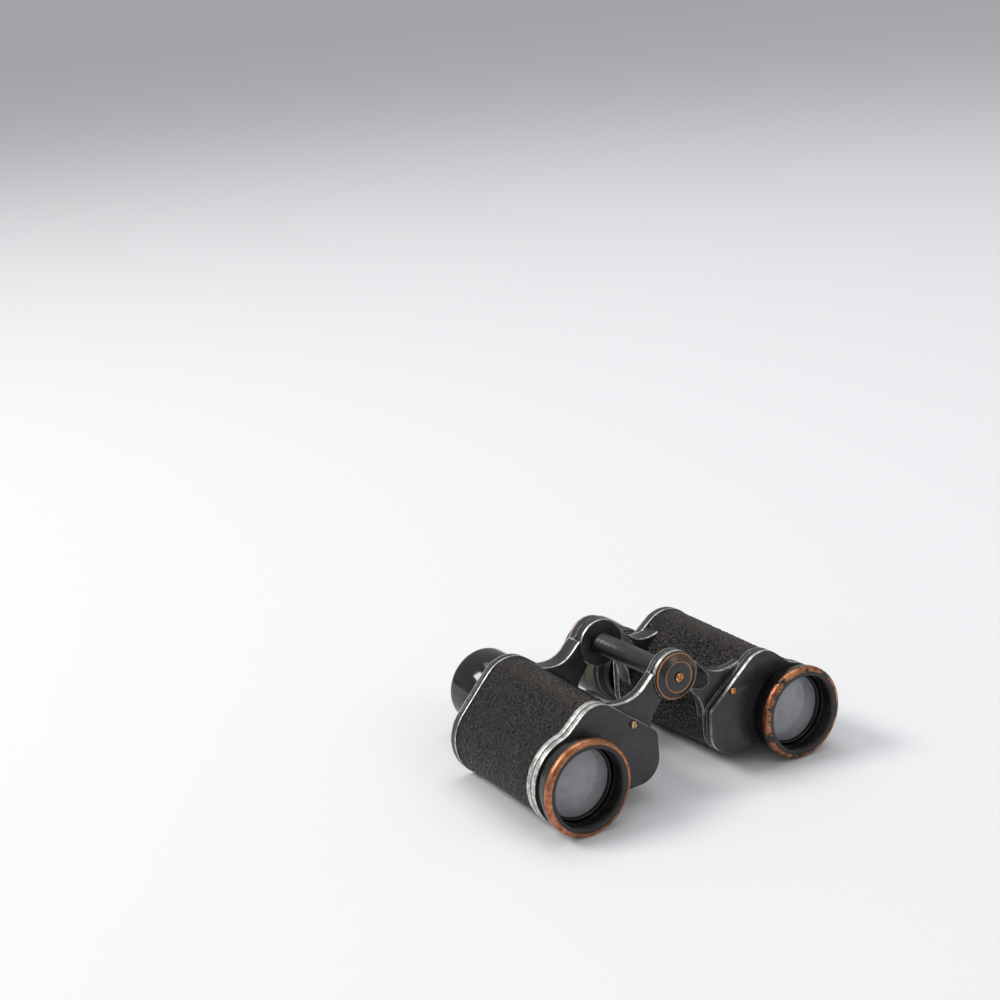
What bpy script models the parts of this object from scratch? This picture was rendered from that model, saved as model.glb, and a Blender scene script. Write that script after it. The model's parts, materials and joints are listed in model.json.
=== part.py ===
# Porro prism binoculars with individual eyepiece focus and a central folding hinge.
# Design frame: Y runs from the objectives (front) to the eyepieces (rear), X to the right, Z up,
# with the hinge axis along Y through X = 0, Z = 0. The whole object hangs on one empty, which
# tips it by the small angle at which it stands on its objective rims and eyecups.
# The right barrel is drawn, and the left one is its mirror image, apart from the hinge lugs.

import math

import bmesh
import bpy
from mathutils import Vector

MM = 0.001

# ---- driving dimensions, mm ----
GAP = 0.3                   # between pieces that touch
RUN_GAP = 0.08              # running clearance on the hinge pin
ROUND_STEPS = 28            # facets on turned pieces
SMALL_STEPS = 20            # facets on the small lenses and the hinge screws
SCREW_STEPS = 12            # facets on the cover screws
PIN_STEPS = 32              # facets on the hinge pin and its bores
CORNER_STEPS = 3            # facets on each corner of an outline
WALL_SPANS = 2              # lengths that the body's loft is divided into

OBJECTIVE_X, OBJECTIVE_Z = 53.6, -27.6      # objective axis from the hinge
OCULAR_X, OCULAR_Z = 29.5, -26.0            # eyepiece axis from the hinge
INNER_X = 13.4              # inner wall of each barrel from the hinge

RECESS_R = 15.6             # bore in front of the objective lens
CELL_WALL = 0.7             # of the objective cell, where it is threaded into the front plate
TUBE_WALL = 2.7             # of the objective tube
RIM_BEAD = 1.45             # that the rim stands out from the tube
CELL_R = RECESS_R + CELL_WALL
TUBE_R = RECESS_R + TUBE_WALL
RIM_R = TUBE_R + RIM_BEAD
LENS_EDGE = 2.0             # thickness of the objective lens at its edge
LENS_BULGE = 1.0
RETAINER_W, RETAINER_T = 1.1, 1.3           # objective retaining ring

FRONT_PLATE_Y = 10.0        # front face of the front cover plate, from the objective rim
PLATE_T = 3.0               # front cover plate
FLANGE_T = 2.7              # casting in front of the leatherette
BODY_LENGTH = 58.6          # along the leatherette
REAR_FLANGE_T = 2.0         # casting behind the leatherette
REAR_PLATE_T = 2.0          # rear cover plate
FLANGE_Y = FRONT_PLATE_Y + PLATE_T + GAP    # front face of the casting
BODY_FRONT_Y = FLANGE_Y + FLANGE_T
BODY_REAR_Y = BODY_FRONT_Y + BODY_LENGTH
REAR_FLANGE_Y = BODY_REAR_Y + REAR_FLANGE_T # rear face of the casting
REAR_PLATE_Y = REAR_FLANGE_Y + GAP
REAR_FACE_Y = REAR_PLATE_Y + REAR_PLATE_T   # rear face of the rear cover plate
CELL_DEPTH = 9.0            # of the objective cell behind the front plate's face
CELL_REAR_Y = FRONT_PLATE_Y + CELL_DEPTH
LENS_SEAT_Y = FRONT_PLATE_Y + 1.8

LEATHER_SINK = 0.35         # leatherette surface below the flanges
LEATHER_T = 0.9
WALL = 1.7                  # casting wall under the leatherette
CORE_INSET = LEATHER_SINK + LEATHER_T + GAP
CAVITY_INSET = CORE_INSET + WALL

ARM_SETBACK = 1.2           # of the front arm from the casting's front face
ARM_LAP = 8.2               # of the rear arm over the leatherette
ARM_FRONT_T, ARM_REAR_T = 5.3, 9.0          # hinge arms
ARM_FRONT_Y = FLANGE_Y + ARM_SETBACK
ARM_FRONT_END = ARM_FRONT_Y + ARM_FRONT_T
ARM_REAR_Y = BODY_REAR_Y - ARM_LAP
ARM_REAR_END = ARM_REAR_Y + ARM_REAR_T

PIN_R = 3.2
PIN_OVERHANG = 0.8          # of the hinge pin beyond the arms, into the caps
KNUCKLE_WALL = 7.0
HINGE_TUBE_WALL = 1.3
KNUCKLE_R = PIN_R + KNUCKLE_WALL
HINGE_TUBE_BORE = PIN_R + GAP
HINGE_TUBE_R = HINGE_TUBE_BORE + HINGE_TUBE_WALL
CAP_R, CAP_TOP_R, CAP_T = 9.7, 6.4, 2.4
REAR_CAP_T = 2.2
HINGE_SCREW_R = 1.9
HINGE_SCREW_SHANK = 1.0
HINGE_SCREW_LENGTH = 5.0

PRISM_HALF = 16.4           # half the hypotenuse, and the height of the prism
PRISM_WIDTH = 14.0
PRISM_CORNER = 5.0
PRISM_SKIRT = 2.2           # straight sides at the foot of the prism
RIDGE_FLAT = 1.0            # that is ground off the prism's ridge
SHELF_T = 3.0
SHELF_Y = BODY_FRONT_Y + BODY_LENGTH / 2 + 0.2
PORT_R = 6.6                # light ports in the shelf
CLIP_T, CLIP_WIDTH, CLIP_FOOT = 0.6, 4.0, 2.0

EYE_TUBE_R = 9.8            # sliding tube
EYE_TUBE_WALL = 1.4
LENS_LEDGE = 1.2            # step in the sliding tube between its two lenses
NECK_WALL = 2.1             # between the sliding tube and the focusing thread
NECK_FOOT_T = 2.2           # that the neck's foot stands out from the thread
CONE_H, FOOT_H = 3.2, 0.9   # of the neck's cone and of the rim at its foot
PLUG_INSET = 0.5            # of the neck where it is screwed into the cover plate
PLUG_DEPTH = 2.0            # of the neck into the casting
FOCUS_CLEAR = 3.4           # between the neck's cone and the focus ring, at rest
SKIRT_H, KNURL_START, FOCUS_H = 4.4, 8.4, 15.4          # along the focus ring
SKIRT_WALL, KNURL_STEP, GROOVE_STEP = 1.5, 2.6, 0.8     # radial steps of the focus ring
FOCUS_LIP_T = 2.4
TUBE_OVERHANG = 2.2         # of the sliding tube beyond the focus ring and behind the cover plate
CUP_BULGE = 0.65            # that the eyecup stands out from the knurling
CUP_LIP = 1.85
CUP_H = 17.7
THREAD_R = EYE_TUBE_R + GAP + NECK_WALL
NECK_R = THREAD_R + NECK_FOOT_T
FOCUS_FRONT = REAR_FACE_Y + GAP + CONE_H + FOCUS_CLEAR
FOCUS_REAR = FOCUS_FRONT + FOCUS_H
NECK_TOP_Y = FOCUS_REAR - FOCUS_LIP_T - 4.6
EYE_TUBE_FRONT, EYE_TUBE_REAR = REAR_FACE_Y + TUBE_OVERHANG, FOCUS_REAR + TUBE_OVERHANG
SCALE_R = THREAD_R + GAP + SKIRT_WALL       # index skirt of the focus ring
KNURL_R = SCALE_R + KNURL_STEP
CUP_R = KNURL_R + CUP_BULGE
CUP_MOUTH_R = CUP_R - CUP_LIP
CUP_FRONT = FOCUS_REAR + GAP
CUP_REAR = CUP_FRONT + CUP_H

COVER_SCREW_R = 1.4
COVER_SCREW_SHANK = 0.7
COVER_SCREW_HEAD = 0.8
COVER_SCREW_LENGTH = 2.0    # beyond the cover plate
SLOT_W, SLOT_D = 0.5, 0.35
SCREW_GAP = 0.15            # round the cover screws' shanks
FRONT_SCREW_X, FRONT_SCREW_Z = INNER_X + 11.6, OCULAR_Z + 13.6
REAR_SCREW_X, REAR_SCREW_Z = OCULAR_X + 12.5, OCULAR_Z + 26.4

# The prisms carry the light from the objective axis to the eyepiece axis by two equal steps
# at right angles, by way of a middle axis.
STEP_X = (OBJECTIVE_X - OCULAR_X) / 2
STEP_Z = (OBJECTIVE_Z - OCULAR_Z) / 2
MIDDLE_X = OCULAR_X + STEP_X - STEP_Z
MIDDLE_Z = OCULAR_Z + STEP_Z + STEP_X

OBJECT = "binoculars"


# ---- scene and materials ----

def clear_scene():
    for ob in list(bpy.data.objects):
        bpy.data.objects.remove(ob)


def material(name, colour, roughness, metallic=0.0, alpha=1.0):
    mat = bpy.data.materials.new(name)
    mat.use_nodes = True
    shader = mat.node_tree.nodes["Principled BSDF"]
    shader.inputs["Base Color"].default_value = (*colour, 1.0)
    shader.inputs["Roughness"].default_value = roughness
    shader.inputs["Metallic"].default_value = metallic
    shader.inputs["Alpha"].default_value = alpha
    return mat


def new_collection(name):
    group = bpy.data.collections.new(name)
    bpy.context.scene.collection.children.link(group)
    return group


clear_scene()
parts = new_collection(OBJECT)
cutters = new_collection("cutters")

enamel = material("black_enamel", (0.030, 0.030, 0.032), 0.38)
leatherette = material("leatherette", (0.022, 0.019, 0.017), 0.55)
lacquered_brass = material("lacquered_brass", (0.35, 0.16, 0.07), 0.35, 1.0)
steel = material("steel", (0.45, 0.45, 0.46), 0.35, 1.0)
bakelite = material("bakelite", (0.012, 0.012, 0.013), 0.14)
lens_glass = material("lens_glass", (0.62, 0.64, 0.66), 0.03, 0.0, 0.4)

rest = bpy.data.objects.new("rest_pose", None)
parts.objects.link(rest)


def add(name, mesh, mat, place=(0, 0, 0), turn=(0, 0, 0)):
    """A part from a mesh whose units are millimetres, hung on the rest-pose empty."""
    mesh.transform(((MM, 0, 0, 0), (0, MM, 0, 0), (0, 0, MM, 0), (0, 0, 0, 1)))
    mesh.materials.clear()
    mesh.materials.append(mat)
    ob = bpy.data.objects.new(name, mesh)
    parts.objects.link(ob)
    ob.location = [v * MM for v in place]
    ob.rotation_euler = turn
    ob.parent = rest
    mesh.shade_smooth()
    mesh.set_sharp_from_angle(angle=math.radians(35))
    return ob


def face_outwards(bm):
    """Makes a closed mesh's faces point out of it."""
    bmesh.ops.recalc_face_normals(bm, faces=bm.faces)
    if bm.calc_volume(signed=True) < 0:
        bmesh.ops.reverse_faces(bm, faces=bm.faces)


def boolean(ob, tool, operation):
    """Cuts or joins with a tool object, which moves to the cutters."""
    cut = ob.modifiers.new(tool.name, "BOOLEAN")
    cut.operation = operation
    cut.solver = "EXACT"
    cut.object = tool
    if parts in tool.users_collection:
        parts.objects.unlink(tool)
        cutters.objects.link(tool)
    tool.hide_render = True
    tool.display_type = "WIRE"


# ---- turned shapes ----

ALONG_Y = (-math.pi / 2, 0, 0)      # turns a profile's Z axis onto Y


def turned(name, profile, mat, x=0.0, z=0.0, steps=ROUND_STEPS, closed=True):
    """A profile of (radius, y) points, down its outer side first, turned about an axis along Y."""
    mesh = bpy.data.meshes.new(name)
    count = len(profile)
    edges = [(i, i + 1) for i in range(count - 1)]
    if closed:
        edges.append((count - 1, 0))
    mesh.from_pydata([(r, 0, height) for r, height in profile], edges, [])
    ob = add(name, mesh, mat, (x, 0, z), ALONG_Y)
    screw = ob.modifiers.new("turn", "SCREW")
    screw.steps = screw.render_steps = steps
    screw.use_merge_vertices = True
    screw.merge_threshold = 0.00001
    screw.use_smooth_shade = False
    return ob


def solid_profile(profile):
    """Closes a profile onto its axis, so that it turns into a solid disc or rod."""
    return [(0, profile[0][1]), *profile, (0, profile[-1][1])]


def rod(name, radius, y0, y1, mat, x=0.0, z=0.0, steps=ROUND_STEPS):
    profile = solid_profile([(radius, y1), (radius, y0)])
    return turned(name, profile, mat, x, z, steps, closed=False)


def ring(name, outer, inner, y0, y1, mat, x=0.0, z=0.0, steps=ROUND_STEPS):
    return turned(name, [(outer, y1), (outer, y0), (inner, y0), (inner, y1)], mat, x, z, steps)


# ---- outlines in the XZ plane ----

def lobe(x, z, r, start, end, count=3):
    """Corners that hug a circle from one angle to another, clockwise, in degrees."""
    step = (start - end) / count
    reach = r / math.cos(math.radians(step / 2))
    corners = []
    for i in range(count):
        a = math.radians(start - (i + 0.5) * step)
        corners.append((x + reach * math.cos(a), z + reach * math.sin(a), r))
    return corners


def inset(corners, depth):
    """The same corners moved in by a depth, with their radii kept concentric."""
    moved = []
    count = len(corners)
    for i, (x, z, r) in enumerate(corners):
        here = Vector((x, z))
        before = Vector(corners[i - 1][:2])
        after = Vector(corners[(i + 1) % count][:2])
        d0, d1 = (here - before).normalized(), (after - here).normalized()
        n0, n1 = Vector((d0.y, -d0.x)), Vector((d1.y, -d1.x))
        turn = d0.x * d1.y - d0.y * d1.x
        bisector = (n0 + n1) / (1 + n0.dot(n1))
        place = here + bisector * depth
        radius = r - depth if turn < 0 else r + depth
        moved.append((place.x, place.y, max(radius, 0.4)))
    return moved


def rounded(corners, steps=CORNER_STEPS):
    """Points round a clockwise outline, with each corner an arc of its own radius. Arcs that
    would meet on a short side are made smaller, and a corner that is all but straight keeps a
    short stretch, so that every outline with as many corners has as many points."""
    shortest, straight = 0.4, math.radians(88)
    count = len(corners)
    spots = [Vector(c[:2]) for c in corners]
    arms = [(spots[i - 1] - spots[i], spots[(i + 1) % count] - spots[i]) for i in range(count)]
    halves = [back.angle(ahead) / 2 for back, ahead in arms]
    reaches = [max(c[2] / math.tan(half), shortest) for c, half in zip(corners, halves)]
    shares = [min(1.0, arms[i][0].length / (reaches[i - 1] + reaches[i])) for i in range(count)]
    points = []
    for i, (back, ahead) in enumerate(arms):
        reach = reaches[i] * min(shares[i], shares[(i + 1) % count]) * 0.999
        u, v = back.normalized(), ahead.normalized()
        start, end = spots[i] + u * reach, spots[i] + v * reach
        if halves[i] > straight:
            points += [tuple(start.lerp(end, k / steps)) for k in range(steps + 1)]
            continue
        centre = spots[i] + (u + v).normalized() * (reach / math.cos(halves[i]))
        a, b = start - centre, end - centre
        sweep = a.angle_signed(b)
        for k in range(steps + 1):
            c, s = math.cos(sweep * k / steps), math.sin(sweep * k / steps)
            points.append((centre.x + a.x * c + a.y * s, centre.y - a.x * s + a.y * c))
    return points


def blend(front, rear, t):
    return [tuple(a + (b - a) * t for a, b in zip(p, q)) for p, q in zip(front, rear)]


def circle(x, z, r, steps=ROUND_STEPS):
    angles = [2 * math.pi * i / steps for i in range(steps)]
    return [(x + r * math.cos(a), z + r * math.sin(a)) for a in angles]


FRONT_OUTLINE = [
    (OBJECTIVE_X - 12.1, OBJECTIVE_Z + 31.0, 11.0),         # shoulder over the prism
    (OBJECTIVE_X + 1.9, OBJECTIVE_Z + 19.4, 8.0),           # hollow above the objective
    *lobe(OBJECTIVE_X, OBJECTIVE_Z, RIM_R - 0.75, 72, -128, 4),
    (OBJECTIVE_X - 16.0, OBJECTIVE_Z - 11.6, 7.0),          # waist below
    (INNER_X - 0.2, OCULAR_Z - 12.9, 10.0),
    (INNER_X, OCULAR_Z + 7.2, 5.0),
]
REAR_OUTLINE = [
    (OBJECTIVE_X - 11.4, OBJECTIVE_Z + 35.0, 14.5),
    (OBJECTIVE_X + 0.9, OBJECTIVE_Z + 22.5, 14.0),
    *lobe(OBJECTIVE_X - 1.4, OBJECTIVE_Z - 1.0, RIM_R - 1.85, 43, -50),
    (OBJECTIVE_X + 7.7, OBJECTIVE_Z - 16.7, 9.0),
    (OBJECTIVE_X - 10.6, OBJECTIVE_Z - 16.7, 14.0),
    (INNER_X - 0.2, OCULAR_Z - 15.0, 13.0),
    (INNER_X + 0.2, OCULAR_Z + 11.4, 5.0),
]


def section(y, depth):
    """The casting's outline at a height y, moved in by a depth."""
    t = min(max((y - BODY_FRONT_Y) / (BODY_REAR_Y - BODY_FRONT_Y), 0), 1)
    return rounded(inset(blend(FRONT_OUTLINE, REAR_OUTLINE, t), depth))


def loft(name, rings, mat, side):
    """A closed shell through rings of (outline, y) that run round its wall and back to the start."""
    mesh = bpy.data.meshes.new(name)
    bm = bmesh.new()
    loops = [[bm.verts.new((side * x, y, z)) for x, z in outline] for outline, y in rings]
    for k, (a, b) in enumerate(zip(loops, loops[1:] + loops[:1])):
        (outline_a, y_a), (outline_b, y_b) = rings[k], rings[(k + 1) % len(rings)]
        low, high = (a, b) if y_a < y_b else (b, a)
        for i in range(len(a)):
            j = (i + 1) % len(a)
            if y_a == y_b or outline_a == outline_b:
                bm.faces.new((a[i], a[j], b[j], b[i]))
            else:                                       # the same diagonal on nested shells
                bm.faces.new((low[i], low[j], high[j]))
                bm.faces.new((low[i], high[j], high[i]))
    face_outwards(bm)
    bm.to_mesh(mesh)
    bm.free()
    return add(name, mesh, mat)


def flat(name, outlines, y0, y1, mat, side=1):
    """A flat piece between two heights: the first outline less the others, which are its holes."""
    curve = bpy.data.curves.new(name, "CURVE")
    curve.dimensions = "2D"
    curve.fill_mode = "BOTH"
    curve.extrude = (y1 - y0) / 2
    for outline in outlines:
        spline = curve.splines.new("POLY")
        spline.points.add(len(outline) - 1)
        for point, (x, z) in zip(spline.points, outline):
            point.co = (side * x, z, 0, 1)
        spline.use_cyclic_u = True
    source = bpy.data.objects.new(name, curve)
    cutters.objects.link(source)
    bpy.context.view_layer.update()
    evaluated = source.evaluated_get(bpy.context.evaluated_depsgraph_get())
    mesh = bpy.data.meshes.new_from_object(evaluated)
    bpy.data.objects.remove(source)
    bm = bmesh.new()
    bm.from_mesh(mesh)
    bmesh.ops.remove_doubles(bm, verts=bm.verts, dist=0.001)
    middle = (y0 + y1) / 2
    for v in bm.verts:
        v.co = (v.co.x, v.co.z + middle, v.co.y)
    face_outwards(bm)
    bm.to_mesh(mesh)
    bm.free()
    mesh.name = name
    return add(name, mesh, mat)


# ---- casting with its hinge arms ----

def spans(low, high):
    return [low + (high - low) * i / WALL_SPANS for i in range(WALL_SPANS + 1)]


def wall_rings():
    heights = spans(BODY_FRONT_Y, BODY_REAR_Y)
    outer = [(section(FLANGE_Y, 0), FLANGE_Y), (section(BODY_FRONT_Y, 0), BODY_FRONT_Y)]
    outer += [(section(y, CORE_INSET), y) for y in heights]
    outer += [(section(BODY_REAR_Y, 0), BODY_REAR_Y), (section(REAR_FLANGE_Y, 0), REAR_FLANGE_Y)]
    inner = [(section(y, CAVITY_INSET), y) for y in (REAR_FLANGE_Y, *heights[::-1], FLANGE_Y)]
    return outer + inner


def arc(r, start, end, steps):
    """Points on a circle about the hinge, from one angle to another, in degrees."""
    angles = [math.radians(start + (end - start) * i / steps) for i in range(steps + 1)]
    return [(r * math.cos(a), r * math.sin(a)) for a in angles]


def web_outline(upper, inside):
    """The arm between the knuckle and the casting, full thickness, clear of the other lug.
    Its lower edge runs down from the knuckle into the casting's inner side."""
    knuckle = arc(KNUCKLE_R + 0.55, -48, 20, 7)
    shared = [(INNER_X + 0.4, 0.2), (INNER_X + 3.1, -2.2), (INNER_X + 6.6, -3.9)]
    return knuckle + shared + upper + inside + [(INNER_X - 3.8, -11.0)]


FRONT_WEB = web_outline(
    [(24.0, -4.7), (29.0, -4.6), (34.0, -3.2)],
    [(38.0, -2.2), (36.0, -4.0), (INNER_X + 3.0, -19.0), (INNER_X + 1.6, -24.0),
     (INNER_X + 0.5, -24.0), (INNER_X - 0.2, -16.6), (INNER_X - 1.6, -13.6)])
REAR_WEB = web_outline(
    [(24.0, -4.3), (29.0, -3.6), (34.0, -1.6)],
    [(38.0, -0.4), (36.0, -2.4), (INNER_X + 3.0, -19.0), (INNER_X + 1.6, -24.0),
     (INNER_X + 0.5, -24.0), (INNER_X - 0.2, -16.6), (INNER_X - 1.6, -13.6)])


def lug_outline():
    """Half-thickness lug: the knuckle's round and a neck that runs into the web."""
    neck = [(13.4, -9.8), (16.5, -8.0), (16.5, -4.0), (13.2, -0.2)]
    return arc(KNUCKLE_R, 32, 312, 22) + neck


def arm(tag, y0, y1, half, outline, side, mat, side_name):
    """Web and lug at one end of the hinge; half picks the front or the rear half for the lug."""
    web = flat(f"{side_name}_{tag}_web", [outline], y0, y1, mat, side)
    middle = (y0 + y1) / 2
    low, high = (y0, middle - GAP / 2) if half == "front" else (middle + GAP / 2, y1)
    bore = circle(0, 0, PIN_R + RUN_GAP, PIN_STEPS)
    lug = flat(f"{side_name}_{tag}_lug", [lug_outline(), bore], low, high, mat, side)
    return web, lug


def housing(side_name, side, lug_half):
    casting = loft(f"{side_name}_housing", wall_rings(), enamel, side)
    for tag, y0, y1, outline in (
        ("front", ARM_FRONT_Y, ARM_FRONT_END, FRONT_WEB),
        ("rear", ARM_REAR_Y, ARM_REAR_END, REAR_WEB),
    ):
        for piece in arm(tag, y0, y1, lug_half, outline, side, enamel, side_name):
            boolean(casting, piece, "UNION")
    bore = rod(f"{side_name}_cell_bore", CELL_R + GAP, FLANGE_Y - 1, CELL_REAR_Y + GAP, enamel,
               side * OBJECTIVE_X, OBJECTIVE_Z)
    boolean(casting, bore, "DIFFERENCE")
    for tag, x, z, y0, y1 in (
        ("front", FRONT_SCREW_X, FRONT_SCREW_Z, FLANGE_Y - 1, FLANGE_Y + 4),
        ("rear", REAR_SCREW_X, REAR_SCREW_Z, REAR_FLANGE_Y - 3.5, REAR_FLANGE_Y + 1),
    ):
        hole = rod(f"{side_name}_{tag}_tapping", COVER_SCREW_SHANK + SCREW_GAP, y0, y1, enamel,
                   side * x, z, SCREW_STEPS)
        boolean(casting, hole, "DIFFERENCE")


def wrap(side_name, side):
    heights = spans(BODY_FRONT_Y + GAP, BODY_REAR_Y - GAP)
    outer = [(section(y, LEATHER_SINK), y) for y in heights]
    inner = [(section(y, LEATHER_SINK + LEATHER_T), y) for y in heights[::-1]]
    cover = loft(f"{side_name}_leatherette", outer + inner, leatherette, side)
    for tag, web, y0, y1 in (("front", FRONT_WEB, BODY_FRONT_Y - 1, ARM_FRONT_END + GAP),
                             ("rear", REAR_WEB, ARM_REAR_Y - GAP, BODY_REAR_Y + 1)):
        around_arm = [(x, z) for x, z, _ in inset([(x, z, 0) for x, z in web], -GAP)]
        notch = flat(f"{side_name}_{tag}_notch", [around_arm], y0, y1, leatherette, side)
        boolean(cover, notch, "DIFFERENCE")


# ---- cover plates and their screws ----

def front_plate(side_name, side):
    shank = COVER_SCREW_SHANK + SCREW_GAP
    holes = [circle(OBJECTIVE_X, OBJECTIVE_Z, CELL_R + GAP),
             circle(FRONT_SCREW_X, FRONT_SCREW_Z, shank, SCREW_STEPS)]
    outline = rounded(FRONT_OUTLINE)
    flat(f"{side_name}_front_cover_plate", [outline, *holes], FRONT_PLATE_Y,
         FRONT_PLATE_Y + PLATE_T, enamel, side)


def rear_plate(side_name, side):
    shank = COVER_SCREW_SHANK + SCREW_GAP
    holes = [circle(OCULAR_X, OCULAR_Z, THREAD_R - PLUG_INSET + GAP),
             circle(REAR_SCREW_X, REAR_SCREW_Z, shank, SCREW_STEPS)]
    outline = rounded(inset(REAR_OUTLINE, 0.1))
    flat(f"{side_name}_rear_cover_plate", [outline, *holes], REAR_PLATE_Y, REAR_FACE_Y, enamel,
         side)


def cover_screw(name, x, z, face_y, plate_t, out):
    """A cheese-head screw; out is -1 where its head looks forward and +1 where it looks back."""
    near, far = face_y + out * GAP, face_y + out * (GAP + COVER_SCREW_HEAD)
    tip = face_y - out * (plate_t + COVER_SCREW_LENGTH)
    edge = COVER_SCREW_R - 0.25, far - out * 0.25
    profile = [(edge[0], far), (COVER_SCREW_R, edge[1]), (COVER_SCREW_R, near),
               (COVER_SCREW_SHANK, near), (COVER_SCREW_SHANK, tip)]
    if out < 0:
        profile.reverse()
    screw = turned(name, solid_profile(profile), lacquered_brass, x, z, SCREW_STEPS, closed=False)
    slot = box(f"{name}_slot", (x, far, z), (SLOT_W, 2 * SLOT_D, 4 * COVER_SCREW_R), 0.6)
    boolean(screw, slot, "DIFFERENCE")


def box(name, centre, size, turn):
    mesh = bpy.data.meshes.new(name)
    bm = bmesh.new()
    bmesh.ops.create_cube(bm, size=1.0)
    bmesh.ops.scale(bm, vec=size, verts=bm.verts)
    bm.to_mesh(mesh)
    bm.free()
    return add(name, mesh, steel, centre, (0, turn, 0))


# ---- objectives ----

def objective(side_name, side):
    x, z = side * OBJECTIVE_X, OBJECTIVE_Z
    shoulder = FRONT_PLATE_Y - GAP
    tube = [
        (CELL_R, CELL_REAR_Y), (CELL_R, shoulder), (TUBE_R, shoulder), (TUBE_R, 6.2),
        (RIM_R - 0.3, 4.9), (RIM_R, 4.2), (RIM_R, 1.4), (RIM_R - 1.3, 0.0), (RECESS_R + 1.1, 0.0),
        (RECESS_R, 1.0), (RECESS_R, LENS_SEAT_Y), (RECESS_R - 1.9, LENS_SEAT_Y),
        (RECESS_R - 1.1, CELL_REAR_Y),
    ]
    turned(f"{side_name}_objective_tube", tube, lacquered_brass, x, z)
    radius, rear = RECESS_R - GAP, LENS_SEAT_Y - GAP
    edge_y = rear - LENS_EDGE
    front = [(radius * k / 4, edge_y - LENS_BULGE * (1 - (k / 4) ** 2)) for k in range(5)]
    turned(f"{side_name}_objective_lens", [(0, rear), (radius, rear), *front[::-1]], lens_glass,
           x, z, closed=False)
    ring(f"{side_name}_objective_retaining_ring", radius, radius - RETAINER_W,
         edge_y - GAP - RETAINER_T, edge_y - GAP, enamel, x, z)


# ---- prisms ----

def prism(name, centre, along, base_y, out, mat, side):
    """A right-angle prism: base face at base_y, ridge one half length from it, ends rounded."""
    half, width = PRISM_HALF, PRISM_WIDTH / 2
    corners = [(half, width), (half, -width), (-half, -width), (-half, width)]
    outline = rounded([(u, v, PRISM_CORNER) for u, v in corners])
    mesh = bpy.data.meshes.new(name)
    bm = bmesh.new()
    ax = Vector((along[0], 0, along[1])).normalized()
    across = Vector((-ax.z, 0, ax.x))
    middle = Vector((centre[0], base_y, centre[1]))
    base = [bm.verts.new(middle + ax * u + across * v) for u, v in outline]
    skirt = middle + Vector((0, out * PRISM_SKIRT, 0))
    rim = [bm.verts.new(skirt + ax * u + across * v) for u, v in outline]
    top_h = half - RIDGE_FLAT
    ridge = []
    for u, v in outline:
        reach = math.copysign(half - top_h, u)
        ridge.append(bm.verts.new(middle + ax * reach + across * v + Vector((0, out * top_h, 0))))
    count = len(outline)
    for a, b in ((base, rim), (rim, ridge)):
        for i in range(count):
            j = (i + 1) % count
            bm.faces.new((a[i], a[j], b[j], b[i]))
    bm.faces.new(base)
    bm.faces.new(ridge)
    for v in bm.verts:
        v.co.x *= side
    bmesh.ops.remove_doubles(bm, verts=bm.verts, dist=0.001)
    bmesh.ops.dissolve_degenerate(bm, dist=0.001, edges=bm.edges)
    face_outwards(bm)
    bm.to_mesh(mesh)
    bm.free()
    return add(name, mesh, mat)


def prism_clip(name, centre, along, base_y, out, side):
    """A sprung strap over the prism's ridge, with its two feet on the shelf."""
    width = PRISM_WIDTH / 2 + GAP
    height = PRISM_HALF - RIDGE_FLAT + GAP
    foot = CLIP_FOOT
    inner = [(-width - foot, 0), (-width, 0), (-width, height), (width, height), (width, 0),
             (width + foot, 0)]
    mesh = bpy.data.meshes.new(name)
    bm = bmesh.new()
    ax = Vector((along[0], 0, along[1])).normalized()
    across = Vector((-ax.z, 0, ax.x))
    middle = Vector((centre[0], base_y, centre[1]))
    t = CLIP_T
    outer = [(-width - foot, t), (-width - t, t), (-width - t, height + t), (width + t, height + t),
             (width + t, t), (width + foot, t)]
    loop = inner + outer[::-1]
    ends = []
    for edge in (-CLIP_WIDTH / 2, CLIP_WIDTH / 2):
        end = middle + ax * edge
        ends.append([bm.verts.new(end + across * v + Vector((0, out * h, 0))) for v, h in loop])
    a, b = ends
    count = len(loop)
    for i in range(count):
        j = (i + 1) % count
        bm.faces.new((a[i], a[j], b[j], b[i]))
    for ring_verts in ends:
        for i in range(len(inner) - 1):
            quad = (i, i + 1, count - 2 - i, count - 1 - i)
            bm.faces.new([ring_verts[k] for k in quad])
    for v in bm.verts:
        v.co.x *= side
    face_outwards(bm)
    bm.to_mesh(mesh)
    bm.free()
    return add(name, mesh, steel)


def prisms(side_name, side):
    shelf_rear = SHELF_Y + SHELF_T
    ports = [circle(x, z, PORT_R, SMALL_STEPS) for x, z in
             ((OBJECTIVE_X, OBJECTIVE_Z), (MIDDLE_X, MIDDLE_Z), (OCULAR_X, OCULAR_Z))]
    outline = section(SHELF_Y, CAVITY_INSET + GAP)
    flat(f"{side_name}_prism_shelf", [outline, *ports], SHELF_Y, shelf_rear, enamel, side)
    front_mid = ((OCULAR_X + MIDDLE_X) / 2, (OCULAR_Z + MIDDLE_Z) / 2)
    front_dir = (MIDDLE_X - OCULAR_X, MIDDLE_Z - OCULAR_Z)
    rear_mid = ((OBJECTIVE_X + MIDDLE_X) / 2, (OBJECTIVE_Z + MIDDLE_Z) / 2)
    rear_dir = (MIDDLE_X - OBJECTIVE_X, MIDDLE_Z - OBJECTIVE_Z)
    for tag, mid, along, base, out in (
        ("front", front_mid, front_dir, SHELF_Y - GAP, -1),
        ("rear", rear_mid, rear_dir, shelf_rear + GAP, 1),
    ):
        prism(f"{side_name}_{tag}_prism", mid, along, base, out, lens_glass, side)
        prism_clip(f"{side_name}_{tag}_prism_clip", mid, along, base, out, side)


# ---- eyepieces ----

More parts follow.
